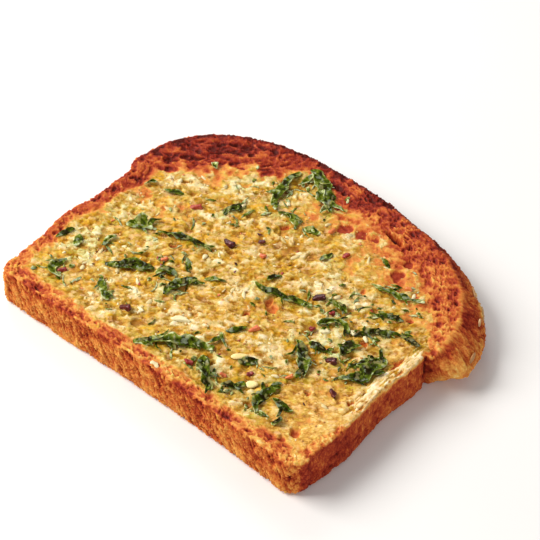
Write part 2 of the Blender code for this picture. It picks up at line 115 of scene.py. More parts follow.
# Chilli flakes: x, y, heading, radius, tone (0 dark purple, 0.4 deep red, 1 orange)
CHILLI_FLAKES = (
    (-18.8, 12.8, 20, 2.1, 0.15), (-43.2, 11.2, 60, 1.4, 0.4), (-13.5, 53, 10, 2, 0.08),
    (-6.9, 60.2, 40, 1.1, 0.1), (15.7, 72.9, 80, 1.3, 0.45), (-2.8, 55.9, 0, 1.3, 0.8),
    (-31.1, 57.7, 50, 1.8, 0.55), (20.9, 54.2, 30, 2, 0.05), (27.6, 51.9, 70, 1.2, 0.4),
    (39.2, 37.6, 15, 2.1, 0.08), (47.2, 28.4, 0, 1.5, 0.1), (24.9, 18, 55, 1.2, 0.3),
    (9.1, 9.4, 35, 1.5, 0.4), (14.6, 32.1, 65, 1.6, 0.8), (19.4, 12.7, 25, 1.1, 0.75),
    (34.1, 24.9, 45, 1.2, 0.95), (27, 43.3, 0, 1.2, 0.35), (-23.8, 34.9, 40, 1.2, 0.8),
    (6, 78.1, 85, 1.5, 0.9), (38.3, 75, 30, 1.2, 1),
)

# Chilli seeds: x, y, heading, length, width, tone (0 golden, 1 pale)
SEEDS = (
    (27.9, 15.4, 40, 3.6, 2.6, 0.85), (18.4, 21, 50, 5.4, 2, 0.7),
    (-24.6, 37.4, 65, 4.2, 1.7, 0.1),
)

# The largest bits of garlic: x, y, heading, length, width
GARLIC_BITS = (
    (-4, 20.4, 40, 5, 2.2), (2.4, 2.3, 10, 2.4, 1.8), (30.5, 45, 60, 2.6, 1.8),
    (17, 58.5, 20, 2.6, 1.6),
)

# Oat flakes on the right shoulder: share along it, share down its wall, tone (0 brown, 1 pale)
OAT_FLAKES = (
    (0.1, 0.4, 0), (0.41, 0.3, 0.7), (0.56, 0.5, 0.4), (0.7, 0.35, 0.3), (0.9, 0.6, 0.5),
)

# Open pits in the crumb and rim: x, y, radius, depth
PITS = (
    (12.3, 43.2, 3, 1.7), (8.5, 35.5, 1.3, 1.3), (-26, 41, 1.6, 1.3), (-6.1, 70.1, 1.8, 1.3),
    (7.9, 82.1, 2.9, 0.6), (13.4, 83.6, 2.4, 0.5), (17.6, 84.2, 1.6, 0.5), (32.1, 77.1, 2.6, 0.7),
    (31.7, 83, 2.2, 0.8), (48.1, 11, 2, 1.3), (46.9, 6.4, 1.3, 1), (53.2, 29.1, 1.2, 1.3),
    (41.2, 24, 1.2, 1.2), (41.6, 49.4, 1.3, 1.2), (46.3, 65.6, 1.4, 1.1), (53.6, 49.6, 1.2, 1.2),
)

# Narrow slits: x, y, heading, length, width, depth
SLITS = (
    (54, 49.5, 84, 7.5, 1.4, 0.9), (53.3, 29, 80, 3, 1, 0.8), (22, 88.6, -12, 8.5, 2.2, 2.6),
    (-33, 80.5, 20, 3.6, 1.4, 0.8), (-36.5, 90, 15, 4, 1.6, 0.9), (7.5, 82.5, -10, 4.5, 1.7, 0.9),
    (-46, 84, 40, 3.5, 1.2, 0.8),
)

# Browned band round the rim. Each row is a bearing in degrees from the slice's middle (0 is the
# right side, 90 the dome and 270 the base), the band's width and how dark it is.
BROWN_BAND = (
    (-60, 4.4, 0.44), (-47, 6.5, 0.38), (-38, 5, 0.36), (-30, 3, 0.34), (-22, 1.2, 0.12),
    (5, 1.4, 0.12), (10, 4, 0.36), (15, 6.5, 0.44), (22, 9.5, 0.49), (30, 12.5, 0.52),
    (41, 13.5, 0.55), (57, 12.5, 0.59), (72, 11, 0.61), (88, 10, 0.64), (100, 6.5, 0.66),
    (110, 6, 0.68), (116, 12.2, 0.68), (125, 16.8, 0.68), (136, 18.8, 0.68), (150, 17.6, 0.68),
    (163, 13.5, 0.67), (170, 9.5, 0.66), (175, 6.5, 0.64), (185, 4.8, 0.63), (200, 4.4, 0.59),
    (212, 4.6, 0.5), (222, 6.5, 0.44), (240, 4.2, 0.44), (270, 4.2, 0.41), (300, 4.4, 0.42),
)
BAND_MIDDLE = (0, 50)

# Patches of pale garlic butter: x, y, radius, strength
BUTTER_PATCHES = (
    (-28, 76, 6.5, 0.8), (-36, 68, 6, 0.7), (-46, 60, 4, 0.5), (19, 60, 4.5, 0.9),
    (30, 57, 7, 0.8), (38, 53, 4, 0.6), (1, 42, 5, 0.7), (23, 28, 4.5, 0.8), (-46, 44, 6, 0.7),
    (-32, 37, 5, 0.6), (-46, 28, 5.5, 0.8), (-44, 19, 5.5, 0.8), (-20, 20, 7, 0.8),
    (-33, 20, 5, 0.6), (-2, 21, 5, 0.7), (-28, 10, 5, 0.6), (31, 42, 6, 0.8), (36, 6, 5, 0.6),
    (16, 12, 4, 0.7), (-12, 46, 4, 0.6), (-22, 60, 4, 0.4), (0, 64, 5, 0.4), (50, 44, 3, 0.5),
)

# Patches fried golden brown: x, y, radius, strength
GOLD_PATCHES = (
    (-8, 71, 6, 0.7), (-3.6, 80, 8, 1), (-6, 86.5, 5, 0.8), (20, 72, 7, 0.8), (32, 75, 7, 1),
    (44, 66, 5, 0.7), (-36, 52, 8, 0.8), (-48, 52, 5, 0.9), (28, 64, 5, 0.8), (44, 30, 6, 0.7),
    (-14, 55, 4, 0.5), (-38, 12, 6, 0.5), (9, 38, 6, 0.6), (2, 32, 6, 0.5), (48, 16, 7, 0.6),
    (-10, 30, 5, 0.5), (20, 40, 6, 0.5), (14, 84, 6, 0.5), (-5, 12, 6, 0.4), (-50, 13, 6, 0.6),
    (-51, 38, 5, 0.6), (22, 4, 5, 0.4), (4, 80, 6, 0.7), (50, 6, 6, 0.6), (40, 4, 5, 0.4),
)

# Places where herb juice has stained the butter: x, y, radius, strength
JUICE_PATCHES = (
    (-44, 34, 20, 0.6), (-46, 22, 8, 0.9), (-41, 32, 8, 0.9), (-33, 40, 8, 0.8),
    (-24, 30, 8, 0.6), (-10, 40, 5, 0.7), (-27, 76, 7, 0.7), (-14, 75, 6, 0.6), (-38, 60, 6, 0.5),
    (16, 66, 5, 0.4), (34, 46, 8, 0.7), (30, 36, 7, 0.6), (8, 14, 9, 0.5), (34, 14, 7, 0.5),
    (-30, 14, 7, 0.5),
)


# ---------------------------------------------------------------- small helpers


def ease(value, low, high):
    """0 at low and 1 at high, smooth between. Low may be the larger."""
    t = np.clip((value - low) / (high - low), 0, 1)
    return t * t * (3 - 2 * t)


def bump(value, middle, width):
    return np.exp(-(((value - middle) / width) ** 2))


def sheet(x, y):
    """Places on a flat sheet, as rows of x, y and 0."""
    return np.column_stack([x, y, np.zeros(len(x))])


def to_part(points):
    """Working-frame millimetres to metres in the part's frame, for one point or an array."""
    return (np.asarray(points, float) - (MIDDLE_X, MIDDLE_Y, -THICKNESS)) * MM


def from_part(points):
    return points / MM + (MIDDLE_X, MIDDLE_Y, -THICKNESS)


def read_rows(items, what):
    """A vector of each vertex or normal, as an array with a row for each."""
    flat = np.empty(len(items) * 3)
    items.foreach_get(what, flat)
    return flat.reshape(-1, 3)


def write_points(item, points):
    item.data.vertices.foreach_set("co", to_part(points).ravel())
    item.data.update()


def paint(item, name, values):
    """Stores one number for each vertex, for the material to read."""
    layer = item.data.attributes.new(name, "FLOAT", "POINT")
    layer.data.foreach_set("value", np.asarray(values, np.float32))


def apply_modifier(item, kind, **settings):
    modifier = item.modifiers.new(kind.lower(), kind)
    for name, value in settings.items():
        setattr(modifier, name, value)
    bpy.context.view_layer.objects.active = item
    bpy.ops.object.modifier_apply(modifier=modifier.name)


def link(item):
    bpy.context.scene.collection.objects.link(item)
    return item


def begin_piece():
    bpy.ops.object.select_all(action="DESELECT")


def finish_piece(item, name, material, slot, *nodes):
    """Names a finished piece, gives it its material and ties it to the body it rides on."""
    item.name = item.data.name = name
    item.data.materials.clear()
    item.data.materials.append(material)
    begin_piece()
    item.select_set(True)
    bpy.context.view_layer.objects.active = item
    bpy.ops.object.shade_smooth()
    if nodes:
        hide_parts(*nodes)
    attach(item, BODY)


def take_master():
    """The new primitive's points and faces, for shaping and copying. The primitive itself goes."""
    item = bpy.context.object
    points = read_rows(item.data.vertices, "co")
    faces = [tuple(face.vertices) for face in item.data.polygons]
    bpy.data.objects.remove(item)
    return points, faces


def joined_copies(name, copies):
    """One object from many (points, faces, tone) copies, with the tone painted on each."""
    points, faces, tones = [], [], []
    start = 0
    for copy_points, copy_faces, tone in copies:
        points.append(copy_points)
        faces += [tuple(start + i for i in face) for face in copy_faces]
        tones.append(np.full(len(copy_points), tone) if np.isscalar(tone) else tone)
        start += len(copy_points)
    data = bpy.data.meshes.new(name)
    data.from_pydata(to_part(np.concatenate(points)), [], faces)
    item = link(bpy.data.objects.new(name, data))
    paint(item, "tone", np.concatenate(tones))
    return item


# ---------------------------------------------------------------- noise for relief

# Each pattern takes places and a size in millimetres, and a seed as its last number.
FOAM_MIDDLE = 0.7
HASH_FACTORS = [np.uint64(n) for n in (374761393, 668265263, 2246822519, 3266489917)]
LOW_32_BITS = np.uint64(0xFFFFFFFF)
LOW_24_BITS = np.uint64(0xFFFFFF)


def lattice_random(cell, seed):
    """Repeatable numbers from 0 to 1 for whole-number lattice points."""
    x, y, z = cell.astype(np.uint64).T
    for_x, for_y, for_z, for_seed = HASH_FACTORS
    h = x * for_x + y * for_y + z * for_z
    h = (h + np.uint64(seed) * for_seed) & LOW_32_BITS
    for shift, factor in ((15, for_z), (13, for_seed)):
        h = ((h ^ (h >> np.uint64(shift))) * factor) & LOW_32_BITS
    return ((h ^ (h >> np.uint64(16))) & LOW_24_BITS).astype(float) / int(LOW_24_BITS)


def soft_noise(points, size, seed):
    """Smooth noise from -1 to 1 with lumps of about the given size."""
    scaled = points / size
    cell = np.floor(scaled).astype(np.int64)
    part = scaled - cell
    part = part * part * part * (part * (part * 6 - 15) + 10)
    total = np.zeros(len(points))
    for corner in np.ndindex(2, 2, 2):
        weight = np.prod(np.where(np.array(corner) == 1, part, 1 - part), axis=1)
        total += weight * lattice_random(cell + corner, seed)
    return 2 * total - 1


def cell_noise(u, v, size, seed):
    """Distances to the nearest and second nearest scattered points, and the nearest's number."""
    scaled = sheet(u, v) / size
    cell = np.floor(scaled).astype(np.int64)
    first = np.full(len(scaled), 9.0)
    second = first.copy()
    number = np.zeros(len(scaled))
    for step in np.ndindex(3, 3):
        other = cell + (step[0] - 1, step[1] - 1, 0)
        x = scaled[:, 0] - other[:, 0] - lattice_random(other, seed)
        y = scaled[:, 1] - other[:, 1] - lattice_random(other, seed + 1)
        reach = np.hypot(x, y)
        nearer = reach < first
        second = np.where(nearer, first, np.minimum(second, reach))
        number = np.where(nearer, lattice_random(other, seed + 2), number)
        first = np.where(nearer, reach, first)
    return first, second, number


def warped(u, v, size, share, seed):
    """The same places pushed about, so that what is drawn on them comes out ragged."""
    reach = size * share
    shift = [reach * soft_noise(sheet(u, v), size, seed + k) for k in (0, 1)]
    return u + shift[0], v + shift[1]


def foam(u, v, size, seed):
    """Bread's foam: 1 on the walls between its bubbles, falling towards 0 inside deep ones.
    Also each bubble's number."""
    u, v = warped(u, v, size, 0.45, seed + 5)
    first, second, number = cell_noise(u, v, size, seed)
    inside = np.clip((second - first) / 0.5, 0, 1)
    return 1 - inside * (0.35 + 0.65 * number), number


def bubbles(u, v, size, seed):
    """Foam about its middle level, for relief."""
    return foam(u, v, size, seed)[0] - FOAM_MIDDLE


def granules(u, v, size, seed):
    """Rounded lumps packed side by side: up to 1 on their tops and 0 in the creases."""
    u, v = warped(u, v, size, 0.4, seed + 5)
    first, _, number = cell_noise(u, v, size, seed)
    return (1 - np.clip(first / 0.62, 0, 1) ** 2) * (0.4 + 0.6 * number)


def open_pores(u, v, size, share, seed):
    """Depth from 0 to 1 of ragged pores with steep sides, in the given share of the cells."""
    u, v = warped(u, v, size * 0.5, 0.5, seed + 5)
    first, _, number = cell_noise(u, v, size, seed)
    radius = 0.26 + 0.3 * ((number * 17) % 1)
    depth = 1 - np.clip(first / radius, 0, 1) ** 3
    return np.where(number < share, depth, 0)


# ---------------------------------------------------------------- the slice's outline


def side_x(y):
    return HALF_WIDTH + SIDE_WAVE * sin(2 * pi * (y - 12) / SIDE_WAVE_LENGTH)


def base_y(x):
    return BASE_WAVE * sin(pi * (x + 20) / 70)


def base_point(t):
    left, right = LEFT_CORNER - HALF_WIDTH, HALF_WIDTH - RIGHT_CORNER
    x = left + (right - left) * t
    return x, base_y(x)


def right_side_point(t):
    y = RIGHT_CORNER + (WAIST_Y - RIGHT_CORNER) * t
    return side_x(y), y


def left_side_point(t):
    y = LEFT_CORNER + (WAIST_Y - LEFT_CORNER) * (1 - t)
    return -HALF_WIDTH - LEFT_SWELL * bump(y, LEFT_SWELL_Y, 8), y


def dome_point(t):
    """The dome is half a superellipse, a little flattened where its top dips."""
    c, s = cos(pi * t), sin(pi * t)
    x = copysign(abs(c) ** (2 / DOME_POWER), c) * DOME_HALF_WIDTH
    x += 0.6 * ease(-x, 20, DOME_HALF_WIDTH)
    return x, WAIST_Y + s ** (2 / DOME_POWER) * DOME_RISE - bump(x, 22, 8)


def corner_point(side, radius, t):
    """Quarter arc from the base edge up to a side (side is 1 on the right, -1 on the left)."""
    angle = pi / 2 * (t if side > 0 else 1 - t)
    start = side * (HALF_WIDTH - radius)
    y = base_y(start) * cos(angle) + radius * (1 - cos(angle))
    return start + side * radius * sin(angle), y


def right_corner_point(t):
    return corner_point(1, RIGHT_CORNER, t)


def left_corner_point(t):
    return corner_point(-1, LEFT_CORNER, t)


def top_outline(count):
    """Evenly spaced points of the top rim, counter-clockwise, with their outward normals."""
    stretches = (
        (base_point, 120), (right_corner_point, 30), (right_side_point, 90),
        (dome_point, 400), (left_side_point, 90), (left_corner_point, 30),
    )
    path = [shape((i + 0.5) / steps) for shape, steps in stretches for i in range(steps)]
    closed = np.array([*path, path[0]], float)
    travelled = np.r_[0, np.cumsum(np.linalg.norm(np.diff(closed, axis=0), axis=1))]
    wanted = np.linspace(0, travelled[-1], count, endpoint=False)
    ring = np.column_stack([np.interp(wanted, travelled, closed[:, i]) for i in (0, 1)])
    along = np.roll(ring, -RIM_SPAN, axis=0) - np.roll(ring, RIM_SPAN, axis=0)
    along /= np.linalg.norm(along, axis=1)[:, None]
    return ring, np.column_stack([along[:, 1], -along[:, 0]]), travelled[-1]


def ring_tree(ring):
    tree = KDTree(len(ring))
    for i, (x, y) in enumerate(ring):
        tree.insert((x, y, 0), i)
    tree.balance()
    return tree


RING, RING_NORMALS, RING_LENGTH = top_outline(RING_COUNT)
RING_TREE = ring_tree(RING)


def nearest_rim(x, y):
    """The nearest rim point's number, and how far inside the rim the place is."""
    _, index, reach = RING_TREE.find((x, y, 0))
    return index, reach


def inside_outline(x, y):
    if y < WAIST_Y:
        return abs(x) < side_x(y)
    return (abs(x) / DOME_HALF_WIDTH) ** DOME_POWER + ((y - WAIST_Y) / DOME_RISE) ** DOME_POWER < 1


def crumb_level(x, y, edge):
    """Level of the crumb between its pores: sunk a little inside the rim and gently rolling.
    The heat has drawn the dome's rim up a little."""
    roll = ROLL * noise.noise(Vector((x, y, 7)) / ROLL_SIZE)
    level = -SAG * ease(edge, 0, SAG_WIDTH) + roll * ease(edge, 1, 6)
    return level + DOME_LIFT * ease(y, 80, 96) * np.exp(-edge / 5)


def level_at(x, y):
    return crumb_level(x, y, nearest_rim(x, y)[1])


def wall_bulge(x, y):
    """How far the crust stands out beyond the top rim, half way down its wall."""
    rise = ease(y, WAIST_Y - 0.5, WAIST_Y + 6)
    shoulder = np.where(x > 0, RIGHT_SHOULDER_BULGE, LEFT_SHOULDER_BULGE)
    lean = DOME_BULGE + (shoulder - DOME_BULGE) * (np.abs(x) / DOME_HALF_WIDTH) ** 4
    return SIDE_BULGE + (lean - SIDE_BULGE) * rise


def bulge_profile(depth):
    """0 at the rim, 1 half way down and 0.65 at the underside (depth runs from 0 to 1)."""
    return 3.35 * depth - 2.7 * depth * depth


# ---------------------------------------------------------------- shader graphs


class Wire:
    """A value in a shader. Arithmetic on it adds Math nodes."""

    def __init__(self, finish, socket):
        self.finish, self.socket = finish, socket

    def math(self, operation, first, second, clamp=False):
        settings = {"operation": operation, "use_clamp": clamp}
        return self.finish.node("ShaderNodeMath", settings, [first, second])

    def __add__(self, other):
        return self.math("ADD", self, other)

    def __sub__(self, other):
        return self.math("SUBTRACT", self, other)

    def __rsub__(self, other):
        return self.math("SUBTRACT", other, self)

    def __mul__(self, other):
        return self.math("MULTIPLY", self, other)

    __radd__, __rmul__ = __add__, __mul__

    def clamp(self):
        return self.math("ADD", self, 0, clamp=True)

    def step(self, low, high):
        """0 below low and 1 above high, smooth between."""
        settings = {"interpolation_type": "SMOOTHSTEP"}
        inputs = {"Value": self, "From Min": low, "From Max": high}
        return self.finish.node("ShaderNodeMapRange", settings, inputs)


class Finish:
    """A material's node tree, with one method that adds any node."""

    def __init__(self, name):
        self.material = bpy.data.materials.new(name)
        self.material.use_nodes = True
        self.tree = self.material.node_tree
        self.tree.nodes.clear()

    def node(self, kind, settings=None, inputs=None, output=0):
        """Adds a node: its settings first, then its inputs' values or links."""
        made = self.tree.nodes.new(kind)
        for name, value in (settings or {}).items():
            if name == "stops":
                self.set_stops(made.color_ramp, value)
            else:
                setattr(made, name, value)
        if not isinstance(inputs, dict):
            inputs = dict(enumerate(inputs or []))
        for name, value in inputs.items():
            if isinstance(value, Wire):
                self.tree.links.new(value.socket, made.inputs[name])
            else:
                made.inputs[name].default_value = value
        return Wire(self, made.outputs[output]) if len(made.outputs) else made

    @staticmethod
    def set_stops(ramp, stops):
        while len(ramp.elements) < len(stops):
            ramp.elements.new(1)
        for element, (place, colour) in zip(ramp.elements, stops):
            element.position = place
            element.color = (*colour, 1)

    def ramp(self, value, stops):
        return self.node("ShaderNodeValToRGB", {"stops": stops}, [value.clamp()])

    def mix(self, share, first, second, blend="MIX"):
        settings = {"data_type": "RGBA", "blend_type": blend}
        first, second = (c if isinstance(c, Wire) else (*c, 1) for c in (first, second))
        return self.node("ShaderNodeMix", settings, {0: share, 6: first, 7: second}, 2)

    def attribute(self, name):
        return self.node("ShaderNodeAttribute", {"attribute_name": name}, None, "Fac")

    def place(self):
        return self.node("ShaderNodeTexCoord", None, None, "Object")

    def texture(self, kind, size_mm, vector, output, **more):
        inputs = {"Vector": vector or self.place(), "Scale": 1 / (size_mm * MM), **more}
        return self.node("ShaderNodeTex" + kind, None, inputs, output)

    def noise(self, size_mm, detail=2, roughness=0.5, vector=None):
        return self.texture("Noise", size_mm, vector, "Fac", Detail=detail, Roughness=roughness)

    def patches(self, size_mm, low, high, vector=None):
        """Soft-edged patches: 0 between them and 1 in them."""
        return self.noise(size_mm, vector=vector).step(low, high)

    def grains(self, size_mm, vector):
        """Packed grains: the distance from each one's middle, and a number of its own."""
        colour = self.texture("Voronoi", size_mm, vector, "Color")
        number = self.node("ShaderNodeSeparateColor", None, [colour], "Red")
        return Wire(self, colour.socket.node.outputs["Distance"]), number

    def vectors(self, operation, inputs):
        return self.node("ShaderNodeVectorMath", {"operation": operation}, inputs)

    def wandering_place(self, size_mm, reach_mm):
        """Places pushed about, so that what is drawn on them comes out ragged."""
        push = self.texture("Noise", size_mm, None, "Color", Detail=1)
        push = self.vectors("SUBTRACT", [push, (0.5, 0.5, 0.5)])
        push = self.vectors("SCALE", {"Vector": push, "Scale": 2 * reach_mm * MM})
        return self.vectors("ADD", [self.place(), push])

    def drawn_out(self, vector, turn, stretch):
        """Places turned and squeezed, for patterns that are drawn out along an axis."""
        inputs = {"Vector": vector, "Rotation": turn, "Scale": stretch}
        return self.node("ShaderNodeMapping", {"vector_type": "TEXTURE"}, inputs)

    def bumped(self, height, strength, distance_mm):
        inputs = {"Strength": strength, "Distance": distance_mm * MM, "Height": height}
        return self.node("ShaderNodeBump", None, inputs)

    def surface(self, **inputs):
        """Ends the tree in a Principled shader. Input names have _ for their spaces."""
        values = {name.replace("_", " "): value for name, value in inputs.items()}
        shader = self.node("ShaderNodeBsdfPrincipled", None, values)
        self.node("ShaderNodeOutputMaterial", None, {"Surface": shader})
        return self.material


# ---------------------------------------------------------------- materials

# Colour stops, from 0 to 1: crumb from its hollows up, crust from pale to burnt, crumb without
# butter, garlic butter, and the torn strip along the right edge. The crumb, bare crumb, butter
# and strip stops run from painted shade in the hollows to painted highlight on the tops.
CRUMB_STOPS = (
    (0, (0.25, 0.1, 0.005)), (0.25, (0.42, 0.235, 0.026)), (0.5, (0.61, 0.405, 0.082)),
    (0.75, (0.77, 0.58, 0.21)), (1, (0.91, 0.79, 0.5)),
)
TOAST_STOPS = (
    (0, (0.88, 0.64, 0.25)), (0.2, (0.78, 0.39, 0.08)), (0.38, (0.65, 0.235, 0.048)),
    (0.53, (0.51, 0.112, 0.022)), (0.66, (0.37, 0.05, 0.015)), (0.82, (0.22, 0.016, 0.007)),
    (1, (0.075, 0.005, 0.002)),
)
BARE_STOPS = (
    (0, (0.34, 0.12, 0.014)), (0.3, (0.62, 0.3, 0.05)), (0.6, (0.81, 0.5, 0.128)),
    (1, (0.95, 0.76, 0.38)),
)
CREAM_STOPS = ((0, (0.5, 0.32, 0.07)), (0.4, (0.78, 0.64, 0.31)), (1, (0.95, 0.9, 0.76)))
STRIP_STOPS = ((0, (0.56, 0.29, 0.085)), (0.45, (0.91, 0.67, 0.35)), (1, (0.99, 0.92, 0.74)))
CHILLI_STOPS = (
    (0, (0.03, 0.004, 0.006)), (0.22, (0.14, 0.008, 0.009)), (0.45, (0.32, 0.018, 0.012)),
    (0.75, (0.62, 0.14, 0.05)), (1, (0.72, 0.2, 0.04)),
)

# Finishes of the pale toppings: dark colour, light colour, size of the mottling, roughness
PALE_FINISHES = {
    "chilli_seed": ((0.78, 0.42, 0.04), (0.93, 0.8, 0.38), 1.6, 0.38),
    "garlic_granule": ((0.56, 0.4, 0.12), (0.84, 0.75, 0.45), 0.8, 0.5),
    "toast_crumb": ((0.4, 0.13, 0.02), (0.74, 0.42, 0.1), 0.6, 0.6),
    "oat_flake": ((0.4, 0.19, 0.06), (0.7, 0.48, 0.25), 1.2, 0.7),
}


def bread_material():
    finish = Finish("toasted_bread")
    browning, height, wall, cream, herb, strip, bare, under = (
        finish.attribute(name)
        for name in ("browning", "height", "wall", "cream", "herb", "strip", "bare", "under")
    )
    ragged_place = finish.wandering_place(1.2, 0.32)
    wander = finish.drawn_out(ragged_place, (0, 0, GRAIN_HEADING), (1.55, 1, 1))
    fine = finish.noise(0.42, 3, 0.62, wander)
    middling = finish.noise(1.4, 2, 0.6, wander)
    broad = finish.noise(9)
    grain, grain_tone = finish.grains(1.25, wander)
    bit, bit_tone = finish.grains(0.66, wander)
    down_the_edge = finish.drawn_out(finish.place(), (0, 0, radians(90)), (6, 1, 1))
    thread = finish.noise(0.5, 2, 0.6, down_the_edge)
    down_the_wall = finish.drawn_out(finish.place(), (0, radians(-29), 0), (1, 1, 4.5))
    stroke = finish.noise(0.55, 2, 0.55, down_the_wall)

    # The crumb's colour is painted shade and highlight: darker in the relief's hollows and in the
    # creases between grains, lighter on the lumps' tops. The grain and bit tones and the noise add
    # random tone, and the thread adds the strip's fibres.
    rise = 0.8 * height + 0.3 * (grain_tone - 0.5) + 0.32 * (0.45 - grain) - 0.03
    rise = rise + (0.14 * (bit_tone - 0.5) + 0.12 * (0.45 - bit)) * (1 + 1.8 * bare)
    rise = rise + 0.12 * (fine - 0.5) + 0.4 * (middling - 0.5) + 0.9 * (thread - 0.5) * strip
    crumb = finish.ramp(rise, CRUMB_STOPS)
    amber = finish.patches(2, 0.47, 0.58, wander) * 0.9
    golden = (broad - 0.42).clamp() * 1.4 + amber + bit_tone.step(0.7, 0.95) * 0.25
    golden = golden * (1 - 0.6 * bare)
    crumb = finish.mix(golden.clamp(), crumb, (1, 0.77, 0.2), "MULTIPLY")
    crumb = finish.mix(bare * 0.85, crumb, finish.ramp(rise, BARE_STOPS))
    blush = finish.patches(1.6, 0.54, 0.66, wander)
    crumb = finish.mix(blush * 0.55, crumb, (0.8, 0.52, 0.25))
    rust = finish.patches(1.1, 0.6, 0.7, wander)
    crumb = finish.mix(rust * 0.45, crumb, (0.44, 0.17, 0.025))
    juice = (herb * 1.3 + 0.28) * finish.patches(1.9, 0.5, 0.64, wander)
    crumb = finish.mix(juice.clamp() * 0.85, crumb, (0.72, 0.84, 0.16), "MULTIPLY")

    pale = finish.ramp(rise + 0.06, CREAM_STOPS)
    pale = finish.mix(amber * 0.6, pale, (1, 0.84, 0.66), "MULTIPLY")
    pale = finish.mix((herb * 1.1).clamp(), pale, (0.79, 0.9, 0.66), "MULTIPLY")
    pale = finish.mix(blush * 0.45, pale, (0.9, 0.68, 0.44))
    pale = finish.mix(strip * 0.9, pale, finish.ramp(rise, STRIP_STOPS))
    crumb = finish.mix((cream + (grain_tone - 0.5) * cream * 0.8).clamp(), crumb, pale)

    # The grain terms also paint the crust darker in the creases between grains, as painted shade.
    baked = browning + (middling - 0.5) * 0.16 + (fine - 0.5) * (0.2 + 0.16 * wall)
    baked = baked + (grain - 0.4) * 0.14 + (bit - 0.4) * 0.12 + (stroke - 0.5) * wall * 0.5
    mottle = (middling - 0.5) * 0.7 + (grain_tone - 0.5) * 0.22 + (broad - 0.5) * 0.9
    toast = finish.ramp(baked + mottle * under, TOAST_STOPS)
    colour = finish.mix((browning + wall - 1.3 * cream).step(0.1, 0.34), crumb, toast)

    speck = finish.noise(0.26, 3, 0.65)
    bumps = speck * 0.3 + fine * 0.4 - bit * 0.36 - grain * 0.4 + stroke * wall * 0.8
    return finish.surface(
        Base_Color=colour, Roughness=0.38 + 0.37 * wall + 0.15 * browning + (fine - 0.5) * 0.3,
        Normal=finish.bumped(bumps, 0.33, 0.3), Specular_IOR_Level=0.1, Subsurface_Weight=0.2,
        Subsurface_Radius=(0.0012, 0.0006, 0.0002), Subsurface_Scale=1,
    )


def herb_material(name, base):
    finish = Finish(name)
    blotch = finish.noise(1.3, 3, 0.65)
    veins = finish.texture("Voronoi", 0.9, None, "Distance")
    patch = finish.noise(2.6)
    shade = finish.attribute("tone") + (blotch - 0.5) * 0.9 + (patch - 0.5) * 1.9
    stops = (
        (0, (0.014, 0.01, 0.0006)), (0.22, tuple(0.7 * c for c in base)),
        (0.46, tuple(1.7 * c for c in base)), (0.66, (0.155, 0.185, 0.012)),
        (0.84, (0.31, 0.36, 0.11)), (1, (0.58, 0.63, 0.34)),
    )
    colour = finish.ramp(shade + (0.35 - veins) * 0.2, stops)
    butter = finish.noise(2.2, 1).step(0.56, 0.66) * 0.3
    colour = finish.mix(butter, colour, (0.6, 0.52, 0.2))
    # Wet patches: the coat and the lower roughness give real gloss, and the pale grey-green mixed
    # into the colour there is a painted sheen.
    wet_gloss_and_painted_sheen = finish.patches(1.7, 0.54, 0.66)
    colour = finish.mix(wet_gloss_and_painted_sheen * 0.45, colour, (0.34, 0.4, 0.27))
    return finish.surface(
        Base_Color=colour, Roughness=0.5 - wet_gloss_and_painted_sheen * 0.25, Specular_IOR_Level=0.04,
        Normal=finish.bumped(blotch + veins * 0.6, 0.7, 0.3),
        Coat_Weight=wet_gloss_and_painted_sheen * 0.2, Coat_Roughness=0.35,
    )


def chilli_material():
    finish = Finish("chilli_flake")
    blotch = finish.noise(0.9, 3, 0.6)
    colour = finish.ramp(finish.attribute("tone") + (blotch - 0.5) * 0.75, CHILLI_STOPS)
    # Pale pinkish patches mixed into the flakes' colour are painted glints.
    worn_edge_and_painted_glint = finish.noise(0.9, 2, 0.6).step(0.58, 0.7) * 0.45
    return finish.surface(
        Base_Color=finish.mix(worn_edge_and_painted_glint, colour, (0.56, 0.3, 0.27)), Roughness=0.18 + blotch * 0.3,
        Normal=finish.bumped(blotch, 0.5, 0.3), Specular_IOR_Level=0.4,
    )


def pale_material(name):
    """A mottled pale finish, for seeds, garlic, crumbs and oat flakes."""
    low, high, size_mm, roughness = PALE_FINISHES[name]
    finish = Finish(name)
    mottle = finish.noise(size_mm, 3, 0.6)
    share = finish.attribute("tone") + (mottle - 0.5) * 0.6
    return finish.surface(
        Base_Color=finish.ramp(share, ((0, low), (1, high))),
        Roughness=roughness + (mottle - 0.5) * 0.2, Normal=finish.bumped(mottle, 0.4, 0.2),
    )


def floor_material(colour):
    finish = Finish("pale_floor")
    tint = finish.noise(60)
    shade = finish.mix(tint, colour, tuple(0.97 * c for c in colour))
    return finish.surface(Base_Color=shade, Roughness=0.6 + tint * 0.1)


# ---------------------------------------------------------------- bread


def read_points(item):
    """An object's vertices as an array of working-frame millimetres."""
    return from_part(read_rows(item.data.vertices, "co"))


def slice_blank(cell_mm):
    """The slice's outline as a disc, extruded to its thickness and remeshed evenly."""
    begin_piece()
    count = RING_COUNT // 2
    bpy.ops.mesh.primitive_circle_add(vertices=count, radius=HALF_WIDTH * MM, fill_type="NGON")
    blank = bpy.context.object
    write_points(blank, np.column_stack([RING[::2], np.full(count, -THICKNESS)]))
    bpy.ops.object.mode_set(mode="EDIT")
    bpy.ops.mesh.select_all(action="SELECT")
    rise = {"value": (0, 0, THICKNESS * MM)}
    bpy.ops.mesh.extrude_region_move(TRANSFORM_OT_translate=rise)
    bpy.ops.mesh.select_all(action="SELECT")
    bpy.ops.mesh.normals_make_consistent(inside=False)
    bpy.ops.object.mode_set(mode="OBJECT")
    apply_modifier(blank, "REMESH", mode="VOXEL", voxel_size=cell_mm * MM)
    apply_modifier(blank, "TRIANGULATE")
    return blank


